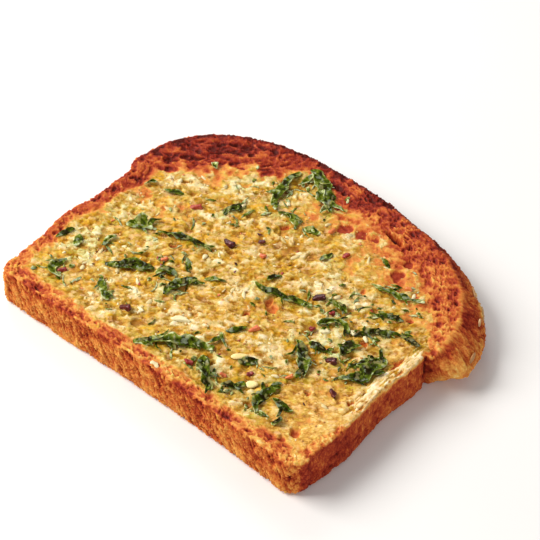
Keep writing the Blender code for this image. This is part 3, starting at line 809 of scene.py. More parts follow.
def thin_underside(blank, share):
    """The flat underside needs fewer faces than the crumb and the crust."""
    group = blank.vertex_groups.new(name="underside")
    low = np.nonzero(read_points(blank)[:, 2] < 0.3 - THICKNESS)[0]
    group.add([int(i) for i in low], 1, "REPLACE")
    apply_modifier(blank, "DECIMATE", ratio=share, vertex_group=group.name, vertex_group_factor=1)
    blank.vertex_groups.clear()


class Places:
    """Places on the slice, and how each lies to the loaf's grain and to the top rim: the
    nearest rim point's number, how far inside the rim, and how far round it."""

    def __init__(self, points, index, edge):
        self.points, self.index, self.edge = points, index, edge
        self.x, self.y, self.z = points.T
        self.u, self.v = along_grain(self.x, self.y)
        self.flat = points * (1, 1, 0)
        self.along = index * (RING_LENGTH / RING_COUNT)
        self.rim_x, self.rim_y = RING[index].T

    def reach(self, x, y):
        return np.hypot(self.x - x, self.y - y)


def along_grain(x, y):
    """Places turned to the loaf's grain, so that bubbles can be drawn out along it."""
    c, s = cos(GRAIN_HEADING), sin(GRAIN_HEADING)
    return x * c + y * s, y * c - x * s


def lean_the_crust(points, index, edge, depth):
    """Pushes the walls out to the leaning crust and draws the waist in."""
    x, y = RING[index].T
    out = wall_bulge(x, y) * bulge_profile(depth)
    right = ease(x, 40, 52)
    below = ease(y, 3, 10) * ease(y, WAIST_Y, WAIST_Y - 1.5)
    out += 0.9 * right * below * ease(depth, 0.1, 0.8)
    tuck = right * ease(y, WAIST_Y - 1, WAIST_Y) * bump(y, WAIST_Y, 9)
    out *= 1 - 0.95 * tuck * ease(depth, 0.45, 1)
    out -= 0.15 * bump(y, WAIST_Y - 0.5, 0.9) * ease(depth, 0, 0.25)
    worn_edge_and_painted_glint = 0.25 * ease(depth, 0.05, 0) + 0.7 * ease(depth, 0.9, 1) ** 2
    out = (out - worn_edge_and_painted_glint) * np.exp(-((edge / 7) ** 2))
    points[:, :2] += RING_NORMALS[index] * out[:, None]


def band_facts(index):
    """Width and darkness of the browned band at each rim point's bearing from the middle."""
    x, y = RING[index].T
    bearing = np.degrees(np.arctan2(y - BAND_MIDDLE[1], x - BAND_MIDDLE[0]))
    places, width, darkness = np.array(BROWN_BAND, float).T
    bearing = np.where(bearing < places[0], bearing + 360, bearing)
    return np.interp(bearing, places, width), np.interp(bearing, places, darkness)


def patch_cover(x, y, patches):
    """How strongly the nearest of some soft patches covers each place."""
    return np.max([
        strength * np.exp(-((np.hypot(x - at_x, y - at_y) / radius) ** 2))
        for at_x, at_y, radius, strength in patches
    ], axis=0)


def pit_wells(at):
    """Share and depth of the open pits and slits at each place."""
    share, depth = np.zeros((2, len(at.x)))

    def sink(near, reach, start, end, weight, deep):
        well = 1 - ease(reach, start, end)
        share[near] = np.maximum(share[near], well * weight)
        depth[near] = np.maximum(depth[near], well * deep)

    for x, y, radius, deep in PITS:
        near = np.nonzero(at.reach(x, y) < radius * 2)[0]
        reach = at.reach(x, y)[near]
        reach += 0.45 * radius * soft_noise(at.flat[near], radius * 0.8, 91)
        sink(near, reach, radius * 0.5, radius * 0.95, 1, deep)
    for x, y, heading, length, width, deep in SLITS:
        near = np.nonzero(at.reach(x, y) < length)[0]
        c, s = cos(radians(heading)), sin(radians(heading))
        dx, dy = at.x[near] - x, at.y[near] - y
        across = dy * c - dx * s + 0.25 * soft_noise(at.flat[near], 2, 95)
        reach = np.hypot((dx * c + dy * s) / (length / 2), across / (width / 2))
        # A slit's share grows past 1 with its depth, so that top_browning paints deeper slits
        # darker, as painted shade.
        sink(near, reach, 0.55, 1.1, 1 + 0.42 * deep, deep)
    return share, depth


def right_strip(at):
    """The strip of pale crumb along the right edge, torn lengthwise and hardly browned."""
    strip = ease(at.rim_x, 54, 56.5) * ease(at.rim_y, 18, 32)
    return strip * ease(at.rim_y, 59, 57) * (1 - ease(at.edge, 3, 6.5))


def fried_bubbles(x, y):
    """Broad shallow bubbles whose smooth floors have fried amber."""
    return open_pores(x, y, 5.4, 0.14, 47)


def bare_crumb(x, y):
    """Plain toasted crumb that the butter hasn't reached, by the right corner and edge."""
    corner = ease(x + 0.35 * y, 36, 50) * ease(y - 0.5 * x, 14, -2)
    side = ease(x, 46, 51) * ease(y, 62, 54)
    foot = ease(y, 7.5, 3) * ease(x, -10, 10)
    return np.maximum(np.maximum(corner, side), 0.8 * foot)


def crumb_relief(at, width):
    """Foam, pores and lumps of the top, in millimetres from its level, and each lump's number.
    Towards the rim the bubbles are drawn out square to it."""
    u, v, along, edge = at.u, at.v, at.along, at.edge
    large, number = foam(u * 0.66, v, 1.6, 11)
    small = bubbles(u * 0.66, v, 0.95, 17)
    shoulder = ease(-at.rim_x, 2, 18) * ease(at.rim_y, 60, 70)
    rim_large, _ = foam(along * 0.62, edge * 0.9, 1.25, 23)
    rim_large += shoulder * (foam(u * 0.4, v, 1.45, 43)[0] - rim_large)
    rim_small, _ = foam(along * 0.7, edge, 0.8, 29)
    rim_small += shoulder * (foam(u * 0.5, v, 0.85, 45)[0] - rim_small)
    inner = ease(edge, width * 0.55, width * 1.2 + 1)
    lumps = 0.27 * (granules(u * 0.62, v, 1.7, 13) - 0.4)
    lumps += 0.16 * (granules(u * 0.6, v, 0.95, 19) - 0.4)
    relief = inner * (0.38 * (large - FOAM_MIDDLE) + 0.16 * small + lumps)
    relief *= 1 - 0.5 * bare_crumb(at.x, at.y)
    relief += (1 - inner) * (0.66 * (rim_large - FOAM_MIDDLE) + 0.34 * (rim_small - FOAM_MIDDLE))
    relief -= inner * 0.45 * open_pores(at.x, at.y, 2.9, 0.22, 41)
    relief -= inner * fried_bubbles(at.x, at.y) * (0.75 * relief + 0.5)
    relief -= (1 - inner) * 0.45 * open_pores(at.x, at.y, 3.6, 0.28, 53)
    relief += 0.24 * soft_noise(at.flat, 2.6, 5) + 0.07 * soft_noise(at.flat, 0.75, 6)
    fibres = 0.5 * bubbles(along * 0.22, edge, 0.95, 31) + 0.1 * soft_noise(at.flat, 1.6, 33)
    fibres -= 0.7 * open_pores(along * 0.3, edge, 1.3, 0.2, 37)
    relief += right_strip(at) * (fibres - relief)
    share, depth = pit_wells(at)
    return relief * (1 - 0.65 * np.minimum(share, 1)) - depth, number


def wall_relief(at):
    """Drawn-out bubbles of the torn base and left crust, grain of the right side and the dome.
    Also where the right side, the dome and the crack at the waist are."""
    along, z = at.along, at.z
    wall = sheet(along, z)
    dome = ease(at.rim_y, WAIST_Y - 1, WAIST_Y + 3)
    right = ease(at.rim_x, 55, 57) * ease(at.rim_y, 1.5, 4) * (1 - dome)
    lean = along + 0.56 * z
    torn = 0.95 * bubbles(lean, z * 0.26, 1.15, 51) + 0.5 * bubbles(lean, z * 0.34, 0.8, 57)
    torn += 0.22 * soft_noise(wall, 3.4, 71)
    torn -= 0.6 * open_pores(lean, z * 0.4, 1.9, 0.22, 61)
    grain = bubbles(along, z * 0.8, 0.85, 73)
    mottled = 0.2 * grain + 0.16 * soft_noise(wall, 1.6, 81)
    mottled += 0.14 * soft_noise(wall, 5, 84) - 0.3 * open_pores(along, z, 2.4, 0.2, 83)
    creased = 0.5 * bubbles(along + 0.3 * z, z * 0.32, 1.15, 75) + 0.45 * grain
    creased += 0.26 * soft_noise(wall, 3.6, 85)
    creased += 0.26 * soft_noise(wall * (1, 0.45, 1), 0.9, 86)
    creased -= 0.35 * open_pores(along, z * 0.6, 2.2, 0.25, 87)
    relief = (torn * (1 - right) + mottled * right) * (1 - dome) + creased * dome
    run = at.rim_y - 0.12 * z + 0.8 * soft_noise(wall, 3.2, 88) + 0.3 * soft_noise(wall, 1.2, 89)
    crack = bump(run, WAIST_Y - 0.3, 0.42) * ease(at.rim_x, 30, 50)
    return relief - 0.6 * crack, right, dome, crack


def top_browning(at, band, pits, relief, number):
    """Top's browning, 0 pale crumb to 1 nearly black crust, and darker in the relief's hollows."""
    width, peak = band
    edge, flat = at.edge, at.flat
    wander = width * (1 + 0.22 * soft_noise(flat, 6, 101) + 0.14 * soft_noise(flat, 2, 102))
    cover = 1 - ease(edge, 0.68 * wander, 1.15 * wander + 1)
    drawn = sheet(at.u * 0.4, at.v)
    scorched = ease(peak, 0.6, 0.67)
    baked = peak - 0.03 + 0.05 * scorched
    baked += (0.12 + 0.05 * scorched) * ease(soft_noise(drawn, 1.9, 103), 0, 0.5)
    baked += 0.1 * soft_noise(drawn, 0.9, 104)
    baked += 0.16 * scorched * ease(edge, 1.6, 0.4)
    foot = ease(at.y, 12, 6)
    baked += 0.24 * foot * ease(soft_noise(flat, 4.2, 108), 0.05, 0.6) - 0.05 * foot
    baked = cover * (baked - 0.12 * edge / (width + 1))
    # The band is darker in the relief's hollows and lighter on its ridges, and so are the halo and
    # the gold patches below.
    baked -= 0.55 * relief * cover
    right = ease(at.x, -14, 4)
    halo = (1 - ease(edge, width, width + 9 + 8 * right)) * ease(width, 5, 10)
    toned = 0.55 + 0.35 * ease(soft_noise(flat, 3, 106), -0.5, 0.5)
    toned += 0.3 * soft_noise(drawn, 1.1, 107)
    gold = patch_cover(at.x, at.y, GOLD_PATCHES)
    grainy = ease(soft_noise(flat, 2.2, 105) + 0.5 * soft_noise(flat, 1, 113), -0.6, 0.8)
    for other in (
        halo * ((0.22 + 0.25 * right) * toned - 0.4 * relief),
        0.46 * gold * (0.35 + 0.65 * grainy) - 0.25 * relief * gold,
        (1 - cover) * 0.16 * fried_bubbles(at.x, at.y),
        ease((number * 7) % 1, 0.55, 0.95) * (0.12 + 0.12 * grainy) * (1 - cover),
    ):
        baked = np.maximum(baked, other)
    heat = np.maximum(cover, halo)
    in_pit = np.minimum(pits, 1)
    # Pit floors are painted browner: partly their own fried brown, partly painted shade. Slits
    # gain more painted shade the deeper they are.
    floor = (0.49 + 0.25 * heat) * in_pit + 0.35 * heat * np.maximum(pits - 1, 0)
    return np.maximum(baked * (1 - in_pit), floor)


def wall_browning(at, depth, relief, right, dome, crack):
    """Walls' browning, darker in the relief's hollows, with flour left along the dome's right."""
    x, y = at.rim_x, at.rim_y
    wall = sheet(at.along, at.z)
    baked = 0.42 + right * (0.27 - 0.09 * ease(y, 8, 50))
    baked += dome * (0.13 * ease(y, 62, 76) - 0.01)
    baked += 0.05 * ease(x, -40, -10) * ease(y, 8, 3)
    baked += 0.2 * ease(y, 85, 95)
    baked += 0.08 * soft_noise(wall, 5, 107)
    # Darker in the relief's hollows and lighter on its ridges.
    baked -= (0.42 - 0.14 * dome) * relief
    baked -= 0.42 * (right * ease(y, 22, 34) * ease(depth, 0.14, 0.03))
    baked += 0.22 * crack
    singed = ease(soft_noise(wall, 4.2, 108), -0.2, 0.5)
    baked += 0.2 * (1 - right) * ease(depth, 0.3, 0.02) * singed
    scuffs = ease(soft_noise(wall, 1.6, 109) + 0.6 * soft_noise(wall, 0.8, 110), 0.2, 0.9)
    baked -= 0.13 * scuffs * ease(x, 40, 50) * dome
    flour = bump(depth, 0.45 + 0.04 * soft_noise(wall, 3, 116), 0.1)
    flour *= bump(y, 86, 10) * ease(x, 28, 38) * ease(soft_noise(wall, 2.4, 114), -0.4, 0.1)
    return baked - 0.62 * flour


def butter_cream(at, width, pits, relief, number, bare):
    """How much pale garlic butter lies on the crumb."""
    butter = patch_cover(at.x, at.y, BUTTER_PATCHES)
    spread = 0.58 * butter + 0.07 + 0.44 * soft_noise(sheet(at.u * 0.6, at.v), 2.1, 111)
    spread += 0.26 * soft_noise(at.flat, 4.5, 112)
    spread += 0.9 * relief - 0.22 * number
    cream = ease(spread, -0.04, 0.42) * (0.6 + 0.4 * butter)
    cream *= (1 - 0.6 * bare) * (1 - 0.8 * fried_bubbles(at.x, at.y))
    cream *= 1 - 0.8 * patch_cover(at.x, at.y, GOLD_PATCHES)
    return cream * ease(at.edge, 0.7 * width, 1.1 * width + 2) * (1 - pits)


def leaf_cover(at):
    """Nearness to the herb leaves, whose juice tints the butter."""
    cover = np.zeros(len(at.x))
    for leaf in HERB_LEAVES:
        for x, y in arc_places(leaf, np.linspace(0, 1, 7))[0]:
            near = np.exp(-((at.reach(x, y) / (1.6 + leaf[5] * 0.5)) ** 2))
            cover = np.maximum(cover, near)
    return cover


def sculpt_slice(blank):
    """Leans the crust, sinks the crumb and cuts the relief, then paints the browning, the butter
    and the herb juice, and the relief's height, which the crumb's colour turns into painted shade.
    """
    points = read_points(blank)
    index, edge = (np.array(n) for n in zip(*(nearest_rim(x, y) for x, y in points[:, :2])))
    depth = np.clip(-points[:, 2] / THICKNESS, 0, 1)
    lean_the_crust(points, index, edge, depth)
    level = np.array([crumb_level(x, y, e) for x, y, e in zip(*points[:, :2].T, edge)])
    points[:, 2] += level * (1 - ease(depth, 0, 0.12))
    write_points(blank, points)

    normals = read_rows(blank.data.vertex_normals, "vector")
    top = ease(normals[:, 2], 0.2, 0.7) * ease(depth, 0.07, 0.01)
    under = ease(-normals[:, 2], 0.3, 0.8) * ease(depth, 0.93, 0.99)
    wall = 1 - top - under
    at = Places(points, index, edge)
    band = band_facts(index)
    top_relief, number = crumb_relief(at, band[0])
    side_relief, right, dome, crack = wall_relief(at)
    under_relief = -0.5 * open_pores(at.x, at.y, 3, 0.5, 131)
    ear = ease(at.rim_x, 38, 46) * ease(at.rim_y, WAIST_Y, WAIST_Y + 14)
    lip = ear * np.exp(-((edge / 0.55) ** 2)) * ease(depth, 0.045, 0.01)
    relief = top_relief * top + side_relief * wall + under_relief * under
    points += normals * (relief * (1 - 0.7 * lip) + 0.14 * lip)[:, None]
    points[:, 2] = np.maximum(points[:, 2], -THICKNESS)
    write_points(blank, points)

    at = Places(points, index, edge)
    top_relief = top_relief * (1 - 0.7 * lip)
    # The relief's height is painted for the crumb's colour: painted shade in the hollows and
    # painted highlight on the tops.
    height = np.clip(0.62 + 0.75 * top_relief, 0, 1) * top
    height += np.clip(0.58 + 0.75 * side_relief, 0, 1) * wall
    height += np.clip(0.6 + 0.8 * under_relief, 0, 1) * under
    pits, _ = pit_wells(at)
    bare = bare_crumb(at.x, at.y)
    strip = right_strip(at) * (1 - pits) * (1 - 0.6 * wall) * (1 - under)
    browning = top_browning(at, band, pits, top_relief, number) * top
    browning += wall_browning(at, depth, side_relief, right, dome, crack) * wall
    browning += under * (0.28 + 0.25 * np.exp(-edge / 5))
    cream = butter_cream(at, band[0], pits, top_relief, number, bare) * top * (1 - strip)
    torn_cream = 0.85 * strip * ease(top_relief, -0.16, 0.08)
    stained = np.maximum(leaf_cover(at), patch_cover(at.x, at.y, JUICE_PATCHES))
    paint(blank, "browning", np.clip(browning - 0.14 * lip, 0, 1))
    paint(blank, "height", np.clip(height + 0.04 * lip, 0, 1))
    paint(blank, "wall", wall + 0.3 * under)
    paint(blank, "under", under)
    paint(blank, "strip", strip)
    paint(blank, "bare", bare * top * (1 - strip))
    paint(blank, "cream", np.maximum(cream, torn_cream))
    paint(blank, "herb", stained * top)


def make_slice(settings):
    blank = slice_blank(settings.cell / MM)
    thin_underside(blank, settings.underside_share)
    sculpt_slice(blank)
    faces = len(blank.data.polygons)
    if faces > settings.most_faces:
        apply_modifier(blank, "DECIMATE", ratio=settings.most_faces / faces)
    finish_piece(blank, "bread_slice", bread_material(), "toasted_bread", "toast_slice")


def bread_surface():
    """The sculpted slice's surface, for laying toppings on it."""
    graph = bpy.context.evaluated_depsgraph_get()
    return BVHTree.FromObject(bpy.data.objects["bread_slice"], graph)


def crumb_ground():
    """A function that gives the working-frame height of the crumb under a place."""
    tree = bread_surface()

    def ground(x, y):
        hit = tree.ray_cast(Vector(to_part((x, y, 10))), Vector((0, 0, -1)))[0]
        return hit.z / MM - THICKNESS if hit else 0

    return ground


# ---------------------------------------------------------------- herbs


def grid_master(along, across):
    """A flat grid's points, as (share along, share across from -1 to 1), and its faces."""
    begin_piece()
    bpy.ops.mesh.primitive_grid_add(x_subdivisions=along, y_subdivisions=across, size=2)
    points, faces = take_master()
    return (points[:, 0] + 1) / 2, points[:, 1], faces


def arc_places(leaf, shares):
    """Points and headings along a leaf's midrib, an arc through the leaf's middle."""
    x, y, heading, length, turn, _ = leaf
    steps = np.linspace(0, 1, ARC_STEPS)
    angle = radians(heading) + radians(turn) * (steps - 0.5)
    run = np.column_stack([np.cos(angle), np.sin(angle)]) * length / (ARC_STEPS - 1)
    path = np.vstack([[0, 0], np.cumsum((run[1:] + run[:-1]) / 2, axis=0)])
    path += (x, y) - path[ARC_STEPS // 2]
    where = [np.interp(shares, steps, path[:, i]) for i in (0, 1)]
    return np.column_stack(where), np.interp(shares, steps, angle)


def blade(leaf, grid, rng, ground, lift):
    """One wilted blade: a ragged strip whose two halves fold up and down along the midrib."""
    t, v, faces = grid
    x, _, _, length, _, width = leaf
    centre, heading = arc_places(leaf, t)
    left, right = rng.randrange(900), rng.randrange(900)
    line = sheet(t, 0 * t)

    def ragged(size, left_seed, right_seed):
        """Smooth noise along the blade, from -1 to 1, with each half its own."""
        halves = [soft_noise(line, size / length, seed) for seed in (left_seed, right_seed)]
        return np.where(v > 0, *halves)

    half = 0.6 * width * np.sin(pi * (0.05 + 0.9 * t)) ** 0.7
    half *= 1 + 0.45 * ragged(2.2, left, right) + 0.2 * ragged(0.8, left, right)
    tilt = 0.4 + 0.8 * ragged(3.5, right, left + 3) * min(1, 3.2 / width)
    across = half * v
    reach = np.abs(across)
    sideways = np.column_stack([-np.sin(heading), np.cos(heading)])
    plan = centre + sideways * (across * np.cos(tilt))[:, None]
    risen = np.where(tilt > 0, reach * np.sin(tilt), (half - reach) * np.sin(-tilt))
    crumple = 0.34 * soft_noise(sheet(*plan.T), 1.9, rng.randrange(900))
    crumple += 0.1 * soft_noise(sheet(*plan.T), 0.8, rng.randrange(900))
    rise = np.maximum(lift + 0.85 * risen + crumple, 0.1)
    z = np.array([ground(*place) for place in plan]) + rise
    stem = ease(np.abs(2 * t - 1), 0.45, 1) * rng.choice((0.12, 0.35, 0.5))
    # Parts of the blade that stand higher get a lighter tone and its low folds a darker one, as
    # painted shade.
    tone = 0.15 + stem + 0.26 * (np.abs(v) > 0.8) + 0.2 * (rise - lift) + rng.uniform(-0.14, 0.2)
    tone += 0.26 * ease(leaf[1], 64, 76) + 0.12 * ease(-x, 15, 35)
    return np.column_stack([plan, z]), faces, np.clip(tone, 0, 1)


def leaflets(leaf, rng):
    """Short side blades that stand off a leaf at alternate sides."""
    length, width = leaf[3], leaf[5]
    count = int(length / LEAFLET_SPACING)
    for k in range(count):
        (place,), (angle,) = arc_places(leaf, np.array([(k + 0.7) / (count + 0.4)]))
        away = angle + (1 if k % 2 else -1) * radians(rng.uniform(22, 70))
        reach = width * rng.uniform(0.7, 1.7)
        middle = place + np.array([cos(away), sin(away)]) * reach * 0.45
        narrow = width * rng.uniform(0.26, 0.5)
        yield *middle, degrees(away), reach, rng.uniform(-70, 70), narrow


def make_leaves(settings):
    rng = Random(5)
    material = herb_material("wilted_herb", tuple(settings.herb_colour))
    long_grid, short_grid = grid_master(26, 8), grid_master(9, 5)
    for number, leaf in enumerate(HERB_LEAVES, start=1):
        copies = [blade(leaf, long_grid, rng, level_at, LEAF_LIFT)]
        # All of a leaf's leaflets are picked first, because their blades use the same rng.
        for small in list(leaflets(leaf, rng)):
            copies.append(blade(small, short_grid, rng, level_at, LEAFLET_LIFT))
        item = joined_copies(f"wilted_leaf_{number:02d}", copies)
        apply_modifier(item, "SOLIDIFY", thickness=LEAF_THICKNESS * MM, offset=1)
        apply_modifier(item, "SUBSURF", levels=1, render_levels=1)
        finish_piece(item, item.name, material, "wilted_herb", f"herb_leaf_{number:02d}")


def make_scraps(settings):
    """The scraps of herb, and flecks scattered thickly round the leaves."""
    rng = Random(9)
    ground = crumb_ground()
    grid, tiny_grid = grid_master(10, 5), grid_master(6, 3)
    copies = []
    for x, y, heading, length, width in HERB_SCRAPS:
        scrap = (x, y, heading, length, rng.uniform(-60, 60), width * 1.2)
        copies.append(blade(scrap, grid, rng, level_at, SCRAP_LIFT))
    for _ in range(settings.fleck_count):
        leaf = rng.choice(HERB_LEAVES)
        x, y = leaf[0] + rng.gauss(0, FLECK_SCATTER), leaf[1] + rng.gauss(0, FLECK_SCATTER)
        if nearest_rim(x, y)[1] < 6 or not 4 < y < 92 or abs(x) > 52 or bare_crumb(x, y) > 0.3:
            continue
        if rng.random() < 0.3:
            size, width = rng.uniform(2.5, 5.5), rng.uniform(0.45, 0.75)
        else:
            size = rng.uniform(0.7, 2.2)
            width = size * 0.5
        fleck = (x, y, leaf[2] + rng.gauss(0, 50), size, rng.uniform(-80, 80), width)
        points, faces, tone = blade(fleck, tiny_grid, rng, ground, FLECK_LIFT)
        copies.append((points, faces, np.clip(tone + rng.uniform(0, 0.5), 0, 1)))
    item = joined_copies("herb_scraps", copies)
    apply_modifier(item, "SOLIDIFY", thickness=SCRAP_THICKNESS * MM, offset=1)
    material = herb_material("herb_scrap", tuple(settings.herb_colour))
    finish_piece(item, "herb_scraps", material, "wilted_herb")


# ---------------------------------------------------------------- chilli, seeds, garlic, crumbs


def placed_copy(master, size, heading, tilt, centre, rng, jitter):
    """A master's points made uneven, sized, turned and moved to a working-frame place."""
    points, faces = master
    x, y, _ = points.T
    phase = [rng.uniform(0, FULL_TURN) for _ in range(4)]
    angle = np.arctan2(y, x)
    uneven = 1 + jitter * (
        np.sin(2 * angle + phase[0]) + 0.8 * np.sin(3 * angle + phase[1])
        + 0.5 * np.sin(5 * angle + phase[2])
    )
    shaped = points * np.column_stack([uneven, uneven, np.ones(len(points))])
    shaped[:, 2] += 0.6 * jitter * np.sin(2.5 * x + phase[3]) * np.cos(2 * y)
    turn = Matrix.Rotation(heading, 3, "Z") @ Matrix.Rotation(tilt, 3, "Y")
    return (shaped * size) @ np.array(turn).T + centre, faces


def lump_master(subdivisions):
    begin_piece()
    bpy.ops.mesh.primitive_ico_sphere_add(subdivisions=subdivisions, radius=1)
    return take_master()


def chip_master():
    """A broken chip, 2 across: a ball with flat sides cut on it, then flattened."""
    points, faces = lump_master(3)
    rng = Random(3)
    for _ in range(9):
        side = np.array([rng.gauss(0, 1) for _ in range(3)])
        side /= np.linalg.norm(side)
        beyond = np.maximum(points @ side - rng.uniform(0.55, 0.85), 0)
        points = points - beyond[:, None] * side
    points[:, 2] = points[:, 2] * 0.5 + 0.16 * points[:, 0] ** 2
    return points, faces


def seed_master():
    """A flat oval seed, narrower at one end, with a raised rim."""
    begin_piece()
    bpy.ops.mesh.primitive_uv_sphere_add(segments=16, ring_count=10, radius=1)
    points, faces = take_master()
    points[:, 1] *= 1 - 0.22 * points[:, 0]
    hollow = np.exp(-((points[:, 0] ** 2 + points[:, 1] ** 2) / 0.35))
    points[:, 2] *= 1 - 0.3 * hollow
    return points, faces


def finish_pale(name, copies, finish, slot):
    finish_piece(joined_copies(name, copies), name, pale_material(finish), slot)


def make_chilli(settings):
    rng = Random(31)
    ground = crumb_ground()
    master = chip_master()
    copies = []
    for x, y, heading, radius, tone in CHILLI_FLAKES:
        centre = (x, y, level_at(x, y) + FLAKE_LIFT)
        size = (radius, radius * rng.uniform(0.7, 0.9), radius * 0.95)
        tilt = rng.uniform(-0.5, 0.5)
        chip = placed_copy(master, size, radians(heading), tilt, centre, rng, 0.14)
        copies.append((*chip, tone))
    for _ in range(settings.speck_count):
        x, y = rng.uniform(-48, 50), rng.uniform(6, 88)
        if nearest_rim(x, y)[1] < 7 or y > 60 and abs(x) > 45:
            continue
        radius = rng.uniform(0.3, 0.75)
        centre = (x, y, ground(x, y) + SPECK_LIFT)
        size = (radius, radius * 0.7, radius * 0.5)
        heading, tilt = rng.uniform(0, FULL_TURN), rng.uniform(-0.5, 0.5)
        chip = placed_copy(master, size, heading, tilt, centre, rng, 0.14)
        copies.append((*chip, rng.choice((0.1, 0.4, 0.5, 0.9))))
    item = joined_copies("chilli_flakes", copies)
    finish_piece(item, "chilli_flakes", chilli_material(), "chilli_flake")


def make_seeds():
    rng = Random(41)
    master = seed_master()
    copies = []
    for x, y, heading, length, width, tone in SEEDS:
        centre = (x, y, level_at(x, y) + SEED_LIFT)
        size, tilt = (length / 2, width / 2, SEED_THICKNESS / 2), rng.uniform(-0.15, 0.15)
        seed = placed_copy(master, size, radians(heading), tilt, centre, rng, 0.02)
        copies.append((*seed, tone))
    finish_pale("chilli_seeds", copies, "chilli_seed", "chilli_seed")


def scattered_lumps(rng, ground, count, sizes, edge, share, master, flatness, draw=1):
    """Lumps scattered over the crumb, at least edge from the rim, where a patchy share lets
    them lie. Draw is how far they are drawn out along the grain."""
    copies = []
    tries = 0
    while len(copies) < count and tries < count * 12:
        tries += 1
        x, y = rng.uniform(-57, 58), rng.uniform(1, 97)
        if y > 96 or nearest_rim(x, y)[1] < edge or not inside_outline(x, y):
            continue
        if rng.random() > share(x, y):
            continue
        radius = rng.uniform(*sizes) * rng.uniform(0.7, 1)
        centre = (x, y, ground(x, y) - radius * 0.05)
        long, wide = rng.uniform(0.9, 1.5) * draw, rng.uniform(0.6, 0.9)
        heading = GRAIN_HEADING + rng.uniform(-FULL_TURN / 2, FULL_TURN / 2) / draw**2
        size = (radius * long, radius * wide, radius * flatness)
        lump = placed_copy(master, size, heading, rng.uniform(-0.3, 0.3), centre, rng, 0.18)
        copies.append((*lump, rng.uniform(0.15, 1)))
    return copies


def off_the_band(x, y):
    """0 on the browned band and 1 well inside it."""
    index, edge = nearest_rim(x, y)
    width, _ = band_facts(index)
    return ease(edge, width, width + 3)


def buttery(x, y):
    """How likely garlic is: thickest in the patches of garlic butter."""
    return off_the_band(x, y) * (0.05 + patch_cover(x, y, BUTTER_PATCHES))


def make_garlic(settings):
    rng = Random(51)
    ground = crumb_ground()
    copies = []
    for count, sizes, edge, subdivisions, flatness in (
        (settings.garlic_lumps, (0.5, 1.1), 8, 2, 0.46),
        (settings.garlic_count, (0.3, 0.7), 7, 1, 0.5),
    ):
        master = lump_master(subdivisions)
        copies += scattered_lumps(
            rng, ground, count, sizes, edge, buttery, master, flatness, GARLIC_DRAW
        )
    chip = chip_master()
    for x, y, heading, length, width in GARLIC_BITS:
        centre = (x, y, ground(x, y) + GARLIC_LIFT)
        size = (0.6 * length, 0.6 * width, 0.9)
        copies.append((*placed_copy(chip, size, radians(heading), 0.1, centre, rng, 0.16), 0.9))
    finish_pale("garlic_granules", copies, "garlic_granule", "garlic_granule")


def make_crumbs(settings):
    copies = scattered_lumps(
        Random(61), crumb_ground(), settings.crumb_count, (0.2, 0.5), 5, off_the_band,
        lump_master(1), 0.8
    )
    finish_pale("toast_crumbs", copies, "toast_crumb", "toasted_bread")


def make_oats():
    """Oat flakes pressed flat into the right shoulder's crust."""
    rng = Random(71)
    master, faces = seed_master()
    tree = bread_surface()
    shoulder = [i for i, (x, y) in enumerate(RING) if x > 40 and y > WAIST_Y + 6]
    copies = []
    for number, (share, depth, tone) in enumerate(OAT_FLAKES):
        i = shoulder[int(share * len(shoulder))]
        outward = np.array([*RING_NORMALS[i], 0])
        start = to_part(np.array([*RING[i], -THICKNESS * depth]) + outward * 20)
        hit = tree.ray_cast(Vector(start), Vector(-outward))[0]
        facing = np.array(Vector(outward).to_track_quat("Z", "Y").to_matrix())
        spin = np.array(Matrix.Rotation(rng.uniform(0, pi), 3, "Z"))
        flake = master * (OAT_LENGTH / 2, OAT_WIDTH / 2, OAT_THICKNESS / 2)
        flake *= 1 + 0.22 * soft_noise(flake, 1.3, 300 + number)[:, None]
        centre = from_part(np.array(hit)) - OAT_SINK * outward
        copies.append((flake @ (facing @ spin).T + centre, faces, tone))
    finish_pale("oat_flakes", copies, "oat_flake", "toasted_bread")


# ---------------------------------------------------------------- stage

FLOOR_SIZE, FLOOR_DROP = 4, 0.05 * MM
LAMP_DISTANCE = 0.9
LAMP_COLOUR = (1, 0.98, 0.95)
SENSOR_WIDTH = 36


def aim_camera(settings, aim):
    """The view at the photograph's angle, turned about its own axis by the roll."""
    lens = bpy.data.cameras.new("camera")
    lens.lens = settings.lens
    lens.sensor_width = SENSOR_WIDTH
    camera = link(bpy.data.objects.new("camera", lens))
    around, up, roll = settings.view_azimuth, settings.view_elevation, settings.view_roll
    back = Vector((sin(around) * cos(up), -cos(around) * cos(up), sin(up)))
    right = Vector((cos(around), sin(around), 0))
    turned = right * cos(roll) + back.cross(right) * sin(roll)
    matrix = Matrix((turned, back.cross(turned), back)).transposed().to_4x4()
    camera.matrix_world = Matrix.Translation(aim + back * settings.distance) @ matrix
    bpy.context.scene.camera = camera


